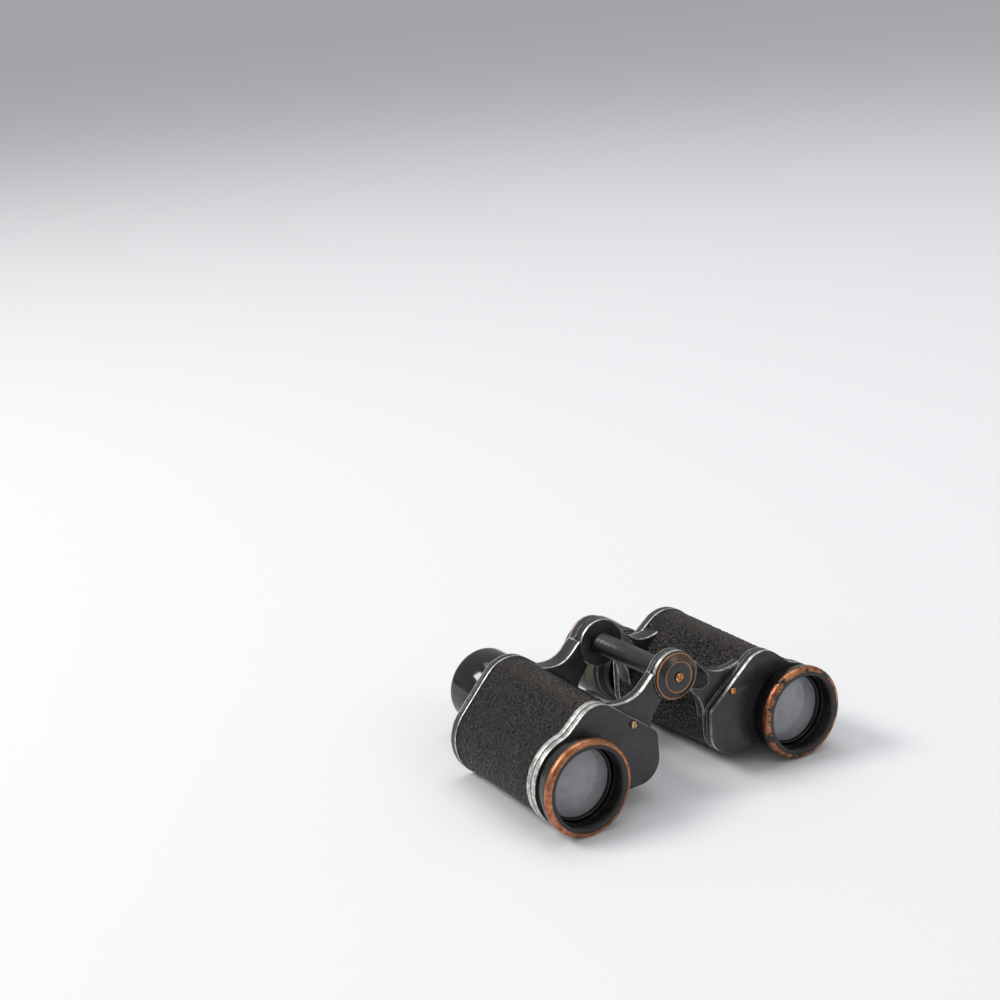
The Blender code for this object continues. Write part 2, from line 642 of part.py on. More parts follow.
def eyepiece(side_name, side):
    x, z = side * OCULAR_X, OCULAR_Z
    foot = REAR_FACE_Y + GAP
    plug_r, plug_y = THREAD_R - PLUG_INSET, REAR_FLANGE_Y - PLUG_DEPTH
    bore = EYE_TUBE_R + GAP
    neck = [
        (THREAD_R - 0.3, NECK_TOP_Y), (THREAD_R, NECK_TOP_Y - 0.3), (THREAD_R, foot + CONE_H),
        (NECK_R - 0.5, foot + FOOT_H + 0.5), (NECK_R, foot + FOOT_H), (NECK_R, foot),
        (plug_r, foot), (plug_r, plug_y), (bore, plug_y), (bore, NECK_TOP_Y),
    ]
    turned(f"{side_name}_eyepiece_neck", neck, lacquered_brass, x, z)

    tube_bore = EYE_TUBE_R - EYE_TUBE_WALL
    ledge = tube_bore - LENS_LEDGE
    field_seat, eye_seat = EYE_TUBE_FRONT + 5.7, EYE_TUBE_REAR - 5.8
    tube = [
        (THREAD_R, EYE_TUBE_REAR), (THREAD_R, FOCUS_REAR + GAP), (EYE_TUBE_R, FOCUS_REAR + GAP),
        (EYE_TUBE_R, EYE_TUBE_FRONT), (tube_bore, EYE_TUBE_FRONT), (tube_bore, field_seat),
        (ledge, field_seat), (ledge, eye_seat), (tube_bore, eye_seat), (tube_bore, EYE_TUBE_REAR),
    ]
    turned(f"{side_name}_eyepiece_tube", tube, enamel, x, z, SMALL_STEPS)
    lens_r = tube_bore - GAP
    field = [(lens_r * k / 3, field_seat - 3.8 - 1.2 * (1 - (k / 3) ** 2)) for k in range(4)]
    field_back = [(0, field_seat - GAP), (lens_r, field_seat - GAP)]
    turned(f"{side_name}_field_lens", field_back + field[::-1], lens_glass, x, z, SMALL_STEPS,
           closed=False)
    eye = [(lens_r * k / 3, eye_seat + 3.2 + 1.3 * (1 - (k / 3) ** 2)) for k in range(4)]
    eye_back = [(lens_r, eye_seat + GAP), (0, eye_seat + GAP)]
    turned(f"{side_name}_eye_lens", eye + eye_back, lens_glass, x, z, SMALL_STEPS, closed=False)

    thread_bore = THREAD_R + GAP
    lip = FOCUS_REAR - FOCUS_LIP_T
    groove_r, skirt_end = KNURL_R - GROOVE_STEP, FOCUS_FRONT + SKIRT_H
    knurl_front = FOCUS_FRONT + KNURL_START
    focus = [
        (KNURL_R - 0.4, FOCUS_REAR), (KNURL_R, FOCUS_REAR - 0.4), (KNURL_R, knurl_front),
        (groove_r, knurl_front), (groove_r, skirt_end + 0.8), (SCALE_R, skirt_end),
        (SCALE_R, FOCUS_FRONT), (thread_bore, FOCUS_FRONT), (thread_bore, lip), (bore, lip),
        (bore, FOCUS_REAR),
    ]
    turned(f"{side_name}_focus_ring", focus, lacquered_brass, x, z)

    inside = EYE_TUBE_REAR + GAP
    flange_r = THREAD_R + GAP
    cup = [
        (CUP_MOUTH_R + 0.8, CUP_REAR), (CUP_R - 0.3, CUP_REAR - 0.5), (CUP_R, CUP_REAR - 1.6),
        (CUP_R - 0.15, CUP_FRONT + 11.1), (CUP_R - 0.7, CUP_FRONT + 5.7),
        (CUP_R - 1.7, CUP_FRONT + 1.5), (CUP_R - 2.2, CUP_FRONT), (flange_r, CUP_FRONT),
        (flange_r, inside), (lens_r, inside), (lens_r, inside + 1.5),
        (CUP_MOUTH_R - 2.6, inside + 4.9), (CUP_MOUTH_R - 0.5, inside + 10.9),
        (CUP_MOUTH_R, CUP_REAR - 0.8),
    ]
    turned(f"{side_name}_eyecup", cup, bakelite, x, z)


# ---- hinge ----

def hinge_screw(name, face_y, out):
    head_h, tip = 0.7, face_y - out * HINGE_SCREW_LENGTH
    profile = [(HINGE_SCREW_R - 0.2, face_y + out * head_h), (HINGE_SCREW_R, face_y + out * 0.5),
               (HINGE_SCREW_R, face_y), (HINGE_SCREW_SHANK, face_y), (HINGE_SCREW_SHANK, tip)]
    if out < 0:
        profile.reverse()
    screw = turned(name, solid_profile(profile), lacquered_brass, steps=SMALL_STEPS, closed=False)
    slot = box(f"{name}_slot", (0, face_y + out * head_h, 0), (SLOT_W, 0.8, 4 * HINGE_SCREW_R), 0.35)
    boolean(screw, slot, "DIFFERENCE")


def hinge():
    ring("hinge_tube", HINGE_TUBE_R, HINGE_TUBE_BORE, ARM_FRONT_END + GAP, ARM_REAR_Y - GAP, enamel)
    pin_front, pin_rear = ARM_FRONT_Y - PIN_OVERHANG, ARM_REAR_END + PIN_OVERHANG
    bore, depth = HINGE_SCREW_SHANK + GAP, HINGE_SCREW_LENGTH
    pin = [
        (0, pin_rear - depth), (bore, pin_rear - depth), (bore, pin_rear), (PIN_R, pin_rear),
        (PIN_R, pin_front), (bore, pin_front), (bore, pin_front + depth), (0, pin_front + depth),
    ]
    turned("axle_pin", pin, steel, steps=PIN_STEPS, closed=False)

    front_back = ARM_FRONT_Y - GAP
    front_face = front_back - CAP_T
    recess = PIN_R + GAP
    front = [
        (CAP_R, front_back), (CAP_R, front_back - 0.5), (CAP_R - 0.4, front_back - 0.7),
        (CAP_TOP_R + 0.3, front_face + 0.1), (CAP_TOP_R, front_face), (bore, front_face),
        (bore, pin_front - GAP), (recess, pin_front - GAP), (recess, front_back),
    ]
    turned("front_hinge_cap", front, enamel)
    rear_front = ARM_REAR_END + GAP
    rear_face = rear_front + REAR_CAP_T
    rear_r = CAP_R - 0.1
    rear = [
        (bore, rear_face), (rear_r - 1.3, rear_face), (rear_r, rear_face - 0.9),
        (rear_r, rear_front), (recess, rear_front), (recess, pin_rear + GAP), (bore, pin_rear + GAP),
    ]
    turned("rear_hinge_cap", rear, enamel)
    hinge_screw("front_hinge_screw", front_face - GAP, -1)
    hinge_screw("rear_hinge_screw", rear_face + GAP, 1)


# ---- assembly ----

def barrel(side_name, side, lug_half):
    housing(side_name, side, lug_half)
    wrap(side_name, side)
    front_plate(side_name, side)
    rear_plate(side_name, side)
    cover_screw(f"{side_name}_front_cover_screw", side * FRONT_SCREW_X, FRONT_SCREW_Z,
                FRONT_PLATE_Y, PLATE_T, -1)
    cover_screw(f"{side_name}_rear_cover_screw", side * REAR_SCREW_X, REAR_SCREW_Z, REAR_FACE_Y,
                REAR_PLATE_T, 1)
    objective(side_name, side)
    prisms(side_name, side)
    eyepiece(side_name, side)


def bounds():
    """Lowest and highest world corners of all the parts as built."""
    bpy.context.view_layer.update()
    graph = bpy.context.evaluated_depsgraph_get()
    points = []
    for ob in parts.objects:
        if ob.type == "MESH":
            built = ob.evaluated_get(graph)
            points += [built.matrix_world @ v.co for v in built.data.vertices]
    low = Vector([min(p[i] for p in points) for i in range(3)])
    high = Vector([max(p[i] for p in points) for i in range(3)])
    return low, high


def stand_on_floor():
    """Tips the object onto its objective rims and eyecups, and centres it over the origin."""
    fall = (OCULAR_Z - CUP_R) - (OBJECTIVE_Z - RIM_R)
    rest.rotation_euler = (-math.atan(fall / (CUP_REAR - 3.0)), 0, 0)
    low, high = bounds()
    rest.location = (-(low.x + high.x) / 2, -(low.y + high.y) / 2, -low.z)


barrel("right", 1, "front")
barrel("left", -1, "rear")
hinge()
stand_on_floor()
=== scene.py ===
# Looks of the Porro prism binoculars: enamelled castings, vulcanite covering, lacquered brass
# and bakelite eyecups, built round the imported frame. Every piece is modelled in millimetres on
# a bench whose Y runs along the hinge, then put where the frame says.
import bmesh
import bpy
import json
import math
from functools import partial
from mathutils import Matrix, Vector, noise


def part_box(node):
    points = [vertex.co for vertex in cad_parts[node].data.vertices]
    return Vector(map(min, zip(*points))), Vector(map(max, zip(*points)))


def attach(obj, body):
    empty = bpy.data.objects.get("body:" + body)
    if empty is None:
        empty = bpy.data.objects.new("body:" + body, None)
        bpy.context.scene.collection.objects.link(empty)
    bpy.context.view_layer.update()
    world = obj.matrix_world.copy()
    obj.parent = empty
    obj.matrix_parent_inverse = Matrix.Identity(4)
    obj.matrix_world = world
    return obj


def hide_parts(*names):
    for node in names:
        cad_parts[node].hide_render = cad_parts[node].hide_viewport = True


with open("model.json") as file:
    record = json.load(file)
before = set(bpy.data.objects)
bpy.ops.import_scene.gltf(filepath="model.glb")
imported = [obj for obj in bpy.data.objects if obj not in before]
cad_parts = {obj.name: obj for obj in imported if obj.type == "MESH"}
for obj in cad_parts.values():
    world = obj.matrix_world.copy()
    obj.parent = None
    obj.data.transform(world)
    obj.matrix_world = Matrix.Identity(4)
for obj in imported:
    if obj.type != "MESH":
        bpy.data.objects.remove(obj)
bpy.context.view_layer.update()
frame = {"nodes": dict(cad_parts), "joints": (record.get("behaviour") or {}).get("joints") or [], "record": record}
print("frame loaded,", len(frame["nodes"]), "nodes")

# the bench: hinge along Y, objective rims at y = 0, in mm
mm = 0.001
fold = next(j for j in frame["joints"] if j["name"] == "barrel_fold")
rims = next(m for m in frame["record"]["mounts"] if m["name"] == "right_objective_rim")
hingeAxis = Vector(fold["axis"]).normalized()
hingePoint = Vector(fold["pos_m"])
rimPlane = hingePoint + hingeAxis * (Vector(rims["pos_m"]) - hingePoint).dot(hingeAxis)
benchUp = Vector((1, 0, 0)).cross(hingeAxis)
benchTurn = Matrix((Vector((1, 0, 0)), hingeAxis, benchUp)).transposed()
bench = Matrix.Translation(rimPlane) @ benchTurn.to_4x4() @ Matrix.Scale(mm, 4)
toBench = bench.inverted()


def middleOf(node):
    low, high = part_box(node)
    return toBench @ ((low + high) / 2)


objective = middleOf("right_objective_lens")
turnJoint = next(j for j in frame["joints"] if j["name"] == "right_focus_turn")
ocular = toBench @ Vector(turnJoint["pos_m"])

body = {"frontPlate": 10.0, "plate": 3.0, "gap": 0.3, "flange": 2.7, "length": 58.6,
        "rearFlange": 2.0, "rearPlate": 2.0, "rim": 19.75, "inner": 13.4,
        "leatherSink": 0.35, "leather": 0.9, "wall": 1.7}
flangeY = body["frontPlate"] + body["plate"] + body["gap"]
leatherFront = flangeY + body["flange"]
leatherRear = leatherFront + body["length"]
rearFlangeY = leatherRear + body["rearFlange"]
rearPlateY = rearFlangeY + body["gap"]
rearFaceY = rearPlateY + body["rearPlate"]


# small tools
def clearSelection():
    if bpy.context.mode != "OBJECT":
        bpy.ops.object.mode_set(mode="OBJECT")
    bpy.ops.object.select_all(action="DESELECT")


def activate(piece):
    clearSelection()
    piece.select_set(True)
    bpy.context.view_layer.objects.active = piece


# Merges doubles and turns the faces outwards.
def outward(piece):
    activate(piece)
    bpy.ops.object.mode_set(mode="EDIT")
    bpy.ops.mesh.select_all(action="SELECT")
    bpy.ops.mesh.remove_doubles(threshold=0.002)
    bpy.ops.mesh.normals_make_consistent(inside=False)
    bpy.ops.object.mode_set(mode="OBJECT")


def softenEdges(piece, width, segments=2, angle=40):
    activate(piece)
    rounding = piece.modifiers.new("edges", "BEVEL")
    rounding.width = width
    rounding.segments = segments
    rounding.limit_method = "ANGLE"
    rounding.angle_limit = math.radians(angle)
    rounding.miter_outer = "MITER_ARC"
    bpy.ops.object.modifier_apply(modifier=rounding.name)


def shade(piece, angle=35):
    activate(piece)
    bpy.ops.object.shade_smooth_by_angle(angle=math.radians(angle))


# The other barrel's copy, with its own mesh.
def mirrored(piece, name):
    twin = piece.copy()
    twin.data = piece.data.copy()
    twin.name = name
    bpy.context.scene.collection.objects.link(twin)
    activate(twin)
    twin.scale.x = -1
    twin.location.x = -twin.location.x
    bpy.ops.object.transform_apply(location=True, rotation=True, scale=True)
    bpy.ops.object.mode_set(mode="EDIT")
    bpy.ops.mesh.select_all(action="SELECT")
    bpy.ops.mesh.normals_make_consistent(inside=False)
    bpy.ops.object.mode_set(mode="OBJECT")
    return twin


def joined(pieces, name):
    clearSelection()
    for piece in pieces:
        piece.select_set(True)
    bpy.context.view_layer.objects.active = pieces[0]
    bpy.ops.object.join()
    pieces[0].name = name
    return pieces[0]


# From the bench to its place, with its material, body and the nodes it stands for. The slot name is not used.
def finishPiece(piece, name, material, rider, slotName, *nodes):
    piece.name = name
    activate(piece)
    piece.matrix_world = bench @ piece.matrix_world
    bpy.ops.object.transform_apply(location=True, rotation=True, scale=True)
    piece.data.materials.clear()
    piece.data.materials.append(material)
    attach(piece, rider)
    if nodes:
        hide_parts(*nodes)
    return piece


# A circle extruded and scaled along Y through (radius, y) points. A closed one is bridged back to
# its start; an open one is capped at its start and runs to the axis or is capped.
def turnPiece(profile, x=0.0, z=0.0, segments=96, closed=True, edge=0.0):
    clearSelection()
    r, y = profile[0]
    bpy.ops.mesh.primitive_circle_add(vertices=segments, radius=r, fill_type="NOTHING",
                                      location=(x, y, z), rotation=(math.pi / 2, 0, 0),
                                      enter_editmode=True)
    piece = bpy.context.object
    bpy.ops.mesh.select_all(action="SELECT")
    for nextR, nextY in profile[1:]:
        bpy.ops.mesh.extrude_region_move(TRANSFORM_OT_translate={"value": (0, nextY - y, 0)})
        if nextR == 0:
            bpy.ops.mesh.merge(type="CENTER")
        elif abs(nextR - r) > 1e-6:
            grow = nextR / r
            bpy.ops.transform.resize(value=(grow, 1, grow), center_override=(x, nextY, z))
        r, y = nextR, nextY
    bpy.ops.mesh.select_mode(type="EDGE")
    bpy.ops.mesh.select_all(action="DESELECT")
    bpy.ops.mesh.select_non_manifold()
    if closed:
        bpy.ops.mesh.bridge_edge_loops()
    else:
        bpy.ops.mesh.edge_face_add()
    bpy.ops.mesh.select_mode(type="VERT")
    bpy.ops.object.mode_set(mode="OBJECT")
    bpy.ops.object.transform_apply(location=True, rotation=True, scale=True)
    outward(piece)
    if edge:
        softenEdges(piece, edge)
    return piece


# A flat piece with rounded edges: the first outline less the others, which are its holes.
def platePiece(outlines, y0, y1, edge):
    clearSelection()
    curve = bpy.data.curves.new("plate", "CURVE")
    curve.dimensions = "2D"
    curve.fill_mode = "BOTH"
    curve.extrude = (y1 - y0) / 2 - edge
    curve.bevel_depth = edge
    curve.bevel_resolution = 2
    curve.offset = -edge
    for outline in outlines:
        spline = curve.splines.new("POLY")
        spline.points.add(len(outline) - 1)
        for point, (x, z) in zip(spline.points, outline):
            point.co = (x, z, 0, 1)
        spline.use_cyclic_u = True
    piece = bpy.data.objects.new("plate", curve)
    bpy.context.scene.collection.objects.link(piece)
    piece.location.y = (y0 + y1) / 2
    piece.rotation_euler.x = math.pi / 2
    activate(piece)
    bpy.ops.object.convert(target="MESH")
    piece = bpy.context.object
    bpy.ops.object.transform_apply(location=True, rotation=True, scale=True)
    outward(piece)
    return piece


# outlines across the barrels
def ringPoints(x, z, r, steps=96):
    return [(x + r * math.cos(2 * math.pi * i / steps), z + r * math.sin(2 * math.pi * i / steps))
            for i in range(steps)]


def arcPoints(r, start, end, steps):
    angles = [math.radians(start + (end - start) * i / steps) for i in range(steps + 1)]
    return [(r * math.cos(a), r * math.sin(a)) for a in angles]


def lobe(x, z, r, start, end, count=3):
    step = (start - end) / count
    reach = r / math.cos(math.radians(step / 2))
    turns = [math.radians(start - (i + 0.5) * step) for i in range(count)]
    return [(x + reach * math.cos(a), z + reach * math.sin(a), r) for a in turns]


def inset(corners, depth):
    moved = []
    for i, (x, z, r) in enumerate(corners):
        here = Vector((x, z))
        d0 = (here - Vector(corners[i - 1][:2])).normalized()
        d1 = (Vector(corners[(i + 1) % len(corners)][:2]) - here).normalized()
        n0, n1 = Vector((d0.y, -d0.x)), Vector((d1.y, -d1.x))
        place = here + (n0 + n1) / (1 + n0.dot(n1)) * depth
        convex = d0.x * d1.y - d0.y * d1.x < 0
        moved.append((place.x, place.y, max(r - depth if convex else r + depth, 0.4)))
    return moved


# Points round a clockwise outline whose corners are arcs of their own radii.
def rounded(corners, steps=9):
    count = len(corners)
    spots = [Vector(c[:2]) for c in corners]
    arms = [(spots[i - 1] - spots[i], spots[(i + 1) % count] - spots[i]) for i in range(count)]
    halves = [back.angle(ahead) / 2 for back, ahead in arms]
    reaches = [max(c[2] / math.tan(half), 0.4) for c, half in zip(corners, halves)]
    shares = [min(1.0, arms[i][0].length / (reaches[i - 1] + reaches[i])) for i in range(count)]
    points = []
    for i, (back, ahead) in enumerate(arms):
        reach = reaches[i] * min(shares[i], shares[(i + 1) % count]) * 0.999
        u, v = back.normalized(), ahead.normalized()
        start, end = spots[i] + u * reach, spots[i] + v * reach
        if halves[i] > math.radians(88):
            points += [tuple(start.lerp(end, k / steps)) for k in range(steps + 1)]
            continue
        centre = spots[i] + (u + v).normalized() * (reach / math.cos(halves[i]))
        a, b = start - centre, end - centre
        sweep = a.angle_signed(b)
        for k in range(steps + 1):
            c, s = math.cos(sweep * k / steps), math.sin(sweep * k / steps)
            points.append((centre.x + a.x * c + a.y * s, centre.y - a.x * s + a.y * c))
    return points


frontOutline = [
    (objective.x - 12.1, objective.z + 31.0, 11.0),
    (objective.x + 1.9, objective.z + 19.4, 8.0),
    *lobe(objective.x, objective.z, body["rim"] - 0.75, 72, -128, 4),
    (objective.x - 16.0, objective.z - 11.6, 7.0),
    (body["inner"] - 0.2, ocular.z - 12.9, 10.0),
    (body["inner"], ocular.z + 7.2, 5.0),
]
rearOutline = [
    (objective.x - 11.4, objective.z + 35.0, 14.5),
    (objective.x + 0.9, objective.z + 22.5, 14.0),
    *lobe(objective.x - 1.4, objective.z - 1.0, body["rim"] - 1.85, 43, -50),
    (objective.x + 7.7, objective.z - 16.7, 9.0),
    (objective.x - 10.6, objective.z - 16.7, 14.0),
    (body["inner"] - 0.2, ocular.z - 15.0, 13.0),
    (body["inner"] + 0.2, ocular.z + 11.4, 5.0),
]


def section(y, depth):
    t = min(max((y - leatherFront) / body["length"], 0), 1)
    mixed = [tuple(a + (b - a) * t for a, b in zip(p, q))
             for p, q in zip(frontOutline, rearOutline)]
    return rounded(inset(mixed, depth))


# The same closed outline with its points at even steps.
def evenly(points, count):
    loop = [Vector(p) for p in points] + [Vector(points[0])]
    lengths = [0.0]
    for a, b in zip(loop, loop[1:]):
        lengths.append(lengths[-1] + (b - a).length)
    placed, k = [], 0
    for i in range(count):
        goal = lengths[-1] * i / count
        while lengths[k + 1] < goal:
            k += 1
        span = lengths[k + 1] - lengths[k]
        placed.append(loop[k].lerp(loop[k + 1], (goal - lengths[k]) / span if span else 0))
    return placed


# Rounds a closed outline by cutting its corners.
def cutCorners(points, times=2):
    for _ in range(times):
        cut = []
        for i, p in enumerate(points):
            q = points[(i + 1) % len(points)]
            cut.append((p[0] * 0.75 + q[0] * 0.25, p[1] * 0.75 + q[1] * 0.25))
            cut.append((p[0] * 0.25 + q[0] * 0.75, p[1] * 0.25 + q[1] * 0.75))
        points = cut
    return points


# materials
# sRGB hex to a linear colour.
def hexColour(code):
    parts = [int(code[i:i + 2], 16) / 255 for i in (1, 3, 5)]
    return (*[c / 12.92 if c <= 0.04045 else ((c + 0.055) / 1.055) ** 2.4 for c in parts], 1.0)


# Adds a node and gives back one of its outputs. An input is a socket to link, a number or a
# hex colour; the rest are the node's own settings.
def addNode(tree, kind, inputs=(), output=0, **settings):
    node = tree.nodes.new("ShaderNode" + kind)
    for key, value in settings.items():
        setattr(node, key, value)
    for key, value in inputs.items() if isinstance(inputs, dict) else enumerate(inputs):
        if isinstance(value, bpy.types.NodeSocket):
            tree.links.new(value, node.inputs[key])
        else:
            node.inputs[key].default_value = hexColour(value) if isinstance(value, str) else value
    return node.outputs[output] if node.outputs else None


# A material, the function that adds to it and the bench coordinates in mm its patterns read.
def newMaterial(name):
    material = bpy.data.materials.new(name)
    material.use_nodes = True
    material.node_tree.nodes.clear()
    add = partial(addNode, material.node_tree)
    turn = toBench.to_3x3().normalized().to_euler()
    place = add("Mapping", {"Vector": add("TexCoord", (), "Object"), "Rotation": turn,
                            "Scale": (1 / mm, 1 / mm, 1 / mm), "Location": toBench.translation})
    return material, add, place


smooth = {"interpolation_type": "SMOOTHSTEP"}     # a ramp that eases in and out


# 1 on an edge and 0 on the flat, over about radius mm: where hands and cases rub.
def rubbedEdges(add, radius):
    rounding = add("Bevel", {"Radius": radius * mm}, samples=4)
    surface = add("NewGeometry", (), "Normal")
    same = add("VectorMath", (rounding, surface), "Value", operation="DOT_PRODUCT")
    return add("MapRange", (same, 0.992, 0.86), **smooth)


# Distance in mm from an axis along the bench's Y.
def fromAxis(add, place, x, z):
    moved = add("VectorMath", (place, (x, 0, z)), operation="SUBTRACT")
    level = add("VectorMath", (moved, (1, 0, 1)), operation="MULTIPLY")
    return add("VectorMath", (level,), "Value", operation="LENGTH")


# Black stoving enamel on cast alloy: satin black with a grey bloom, chipped on its edges to
# bright aluminium. bands are (y0, y1, share, reach) stretches of bench Y that are worn bare, no
# further than reach from the hinge.
def stovedEnamel(name, rub=0.5, bands=(), dust=0.5):
    material, add, place = newMaterial(name)
    blotch = add("TexNoise",
                 {"Vector": place, "Scale": 1 / 6.0, "Detail": 4.0, "Roughness": 0.55})
    chips = add("TexNoise", {"Vector": place, "Scale": 1 / 0.9, "Detail": 5.0, "Roughness": 0.7})
    base = add("Mix",
               {0: add("MapRange", (blotch, 0.35, 0.75), **smooth), 6: "#242224", 7: "#343133"},
               2, data_type="RGBA")
    # pale specks and short scratches where the enamel has been knocked
    specks = add("MapRange",
                 (add("TexNoise", {"Vector": place, "Scale": 1 / 0.45, "Roughness": 0.6}),
                  0.66, 0.71), **smooth)
    patchy = add("MapRange",
                 (add("TexNoise", {"Vector": place, "Scale": 1 / 7.0, "Roughness": 0.55}),
                  0.45, 0.6), **smooth)
    scuffs = add("MapRange",
                 (add("TexNoise",
                      {"Vector": add("Mapping", {"Vector": place, "Scale": (0.22, 1.0, 1.6)}),
                       "Scale": 1 / 0.9}), 0.73, 0.77), **smooth)
    marks = add("Math", (add("Math", (specks, patchy), operation="MULTIPLY"), scuffs),
                operation="MAXIMUM")
    base = add("Mix",
               {0: add("Math", (marks, dust), operation="MULTIPLY"), 6: base, 7: "#8b8682"}, 2,
               data_type="RGBA")
    edge = rubbedEdges(add, 0.55)
    bare = add("MapRange",
               (add("Math", (edge, add("Math", (chips, 1.0 - rub), operation="SUBTRACT")),
                    operation="ADD"), 0.58, 0.7), **smooth)
    height = add("SeparateXYZ", (place,), 1)
    surface = add("NewGeometry", (), "Normal")
    along = add("VectorMath", (surface, tuple(hingeAxis)), "Value", operation="DOT_PRODUCT")
    side = add("MapRange",
               (add("Math", (along,), operation="ABSOLUTE"), 0.75, 0.35),
               **smooth)
    reachOut = fromAxis(add, place, 0, 0)
    for low, high, share, reach in bands:
        inside = add("Math",
                     (add("MapRange", (height, low - 0.1, low + 0.1), **smooth),
                      add("MapRange", (height, high + 0.1, high - 0.1), **smooth)),
                     operation="MULTIPLY")
        worn = add("MapRange", (chips, 0.78 - share * 0.6, 0.84 - share * 0.6), **smooth)
        worn = add("Math", (add("Math", (inside, side), operation="MULTIPLY"), worn),
                   operation="MULTIPLY")
        worn = add("Math", (worn, add("MapRange", (reachOut, reach + 1, reach - 1), **smooth)),
                   operation="MULTIPLY")
        bare = add("Math", (bare, worn), operation="MAXIMUM")
    tarnish = add("MapRange",
                  (add("TexNoise",
                       {"Vector": place, "Scale": 1 / 2.2, "Detail": 4.0, "Roughness": 0.6}),
                   0.4, 0.62), **smooth)
    metal = add("Mix", {0: tarnish, 6: "#e4e5e1", 7: "#aaa9a1"}, 2, data_type="RGBA")
    orangePeel = add("TexNoise", {"Vector": place, "Scale": 1 / 0.8, "Roughness": 0.55})
    relief = add("Bump",
                 {"Height": add("Math", (orangePeel, bare), operation="SUBTRACT"),
                  "Strength": 0.35, "Distance": 0.05 * mm})
    shader = add("BsdfPrincipled",
                 {"Base Color": add("Mix", {0: bare, 6: base, 7: metal}, 2, data_type="RGBA"),
                  "Metallic": bare,
                  "Roughness": add("MapRange",
                                   (add("Math", (bare, blotch), operation="MAXIMUM"), 0, 1, 0.3,
                                    0.42)), "Normal": relief})
    add("OutputMaterial", {"Surface": shader})
    return material


# Gloss black lacquer on turned brass, worn through to orange-brown metal. fades are (y0, y1, r0)
# zones that wear first: between two heights, outside a radius.
def lacquerOnBrass(name, x, z, wear, fades, rough=0.14, copper="#bd8462"):
    material, add, place = newMaterial(name)
    height = add("SeparateXYZ", (place,), 1)
    radius = fromAxis(add, place, x, z)
    chips = add("TexNoise", {"Vector": place, "Scale": 1 / 1.1, "Detail": 5.0, "Roughness": 0.7})
    drift = add("TexNoise", {"Vector": place, "Scale": 1 / 9.0, "Roughness": 0.55})
    zone = 0.0
    for y0, y1, r0 in fades:
        here = add("Math",
                   (add("MapRange", (height, y0 - 0.3, y0 + 0.3), **smooth),
                    add("MapRange", (height, y1 + 0.5, y1 - 0.5), **smooth)),
                   operation="MULTIPLY")
        here = add("Math", (here, add("MapRange", (radius, r0 - 0.15, r0 + 0.15), **smooth)),
                   operation="MULTIPLY")
        zone = add("Math", (here, zone), operation="MAXIMUM")
    level = add("Math",
                (add("Math", (chips, 0.55), operation="MULTIPLY"),
                 add("Math", (drift, 0.9), operation="MULTIPLY")), operation="ADD")
    worn = add("Math", (zone, add("MapRange", (level, 1.02 - wear, 1.08 - wear), **smooth)),
               operation="MULTIPLY")
    edge = rubbedEdges(add, 0.3)
    nick = add("MapRange",
               (add("Math", (add("Math", (edge, 0.5), operation="MULTIPLY"), chips),
                    operation="ADD"), 0.98, 1.06), **smooth)
    worn = add("Math", (worn, nick), operation="MAXIMUM")
    tone = add("Mix",
               {0: add("MapRange",
                       (add("TexNoise",
                            {"Vector": place, "Scale": 1 / 2.5, "Detail": 4.0, "Roughness": 0.65}),
                        0.35, 0.65), **smooth), 6: copper, 7: "#93583a"}, 2, data_type="RGBA")
    tone = add("Mix", {0: add("MapRange", (chips, 0.66, 0.78), **smooth), 6: tone, 7: "#dcb091"},
               2, data_type="RGBA")
    black = add("Mix",
                {0: add("MapRange", (drift, 0.4, 0.7), **smooth), 6: "#0e0d0d", 7: "#171514"}, 2,
                data_type="RGBA")
    haze = add("MapRange",
               (add("TexNoise",
                    {"Vector": place, "Scale": 1 / 3.0, "Detail": 4.0, "Roughness": 0.55}),
                0.35, 0.75), **smooth)
    relief = add("Bump",
                 {"Height": add("Math", (add("Math", (chips, 0.15), operation="MULTIPLY"), worn),
                                operation="SUBTRACT"), "Strength": 0.5, "Distance": 0.04 * mm})
    shader = add("BsdfPrincipled",
                 {"Base Color": add("Mix", {0: worn, 6: black, 7: tone}, 2, data_type="RGBA"),
                  "Metallic": worn,
                  "Roughness": add("MapRange",
                                   (add("Math",
                                        (worn, add("Math", (haze, 0.35), operation="MULTIPLY")),
                                        operation="MAXIMUM"), 0, 1, rough, 0.36)),
                  "Normal": relief})
    add("OutputMaterial", {"Surface": shader})
    return material
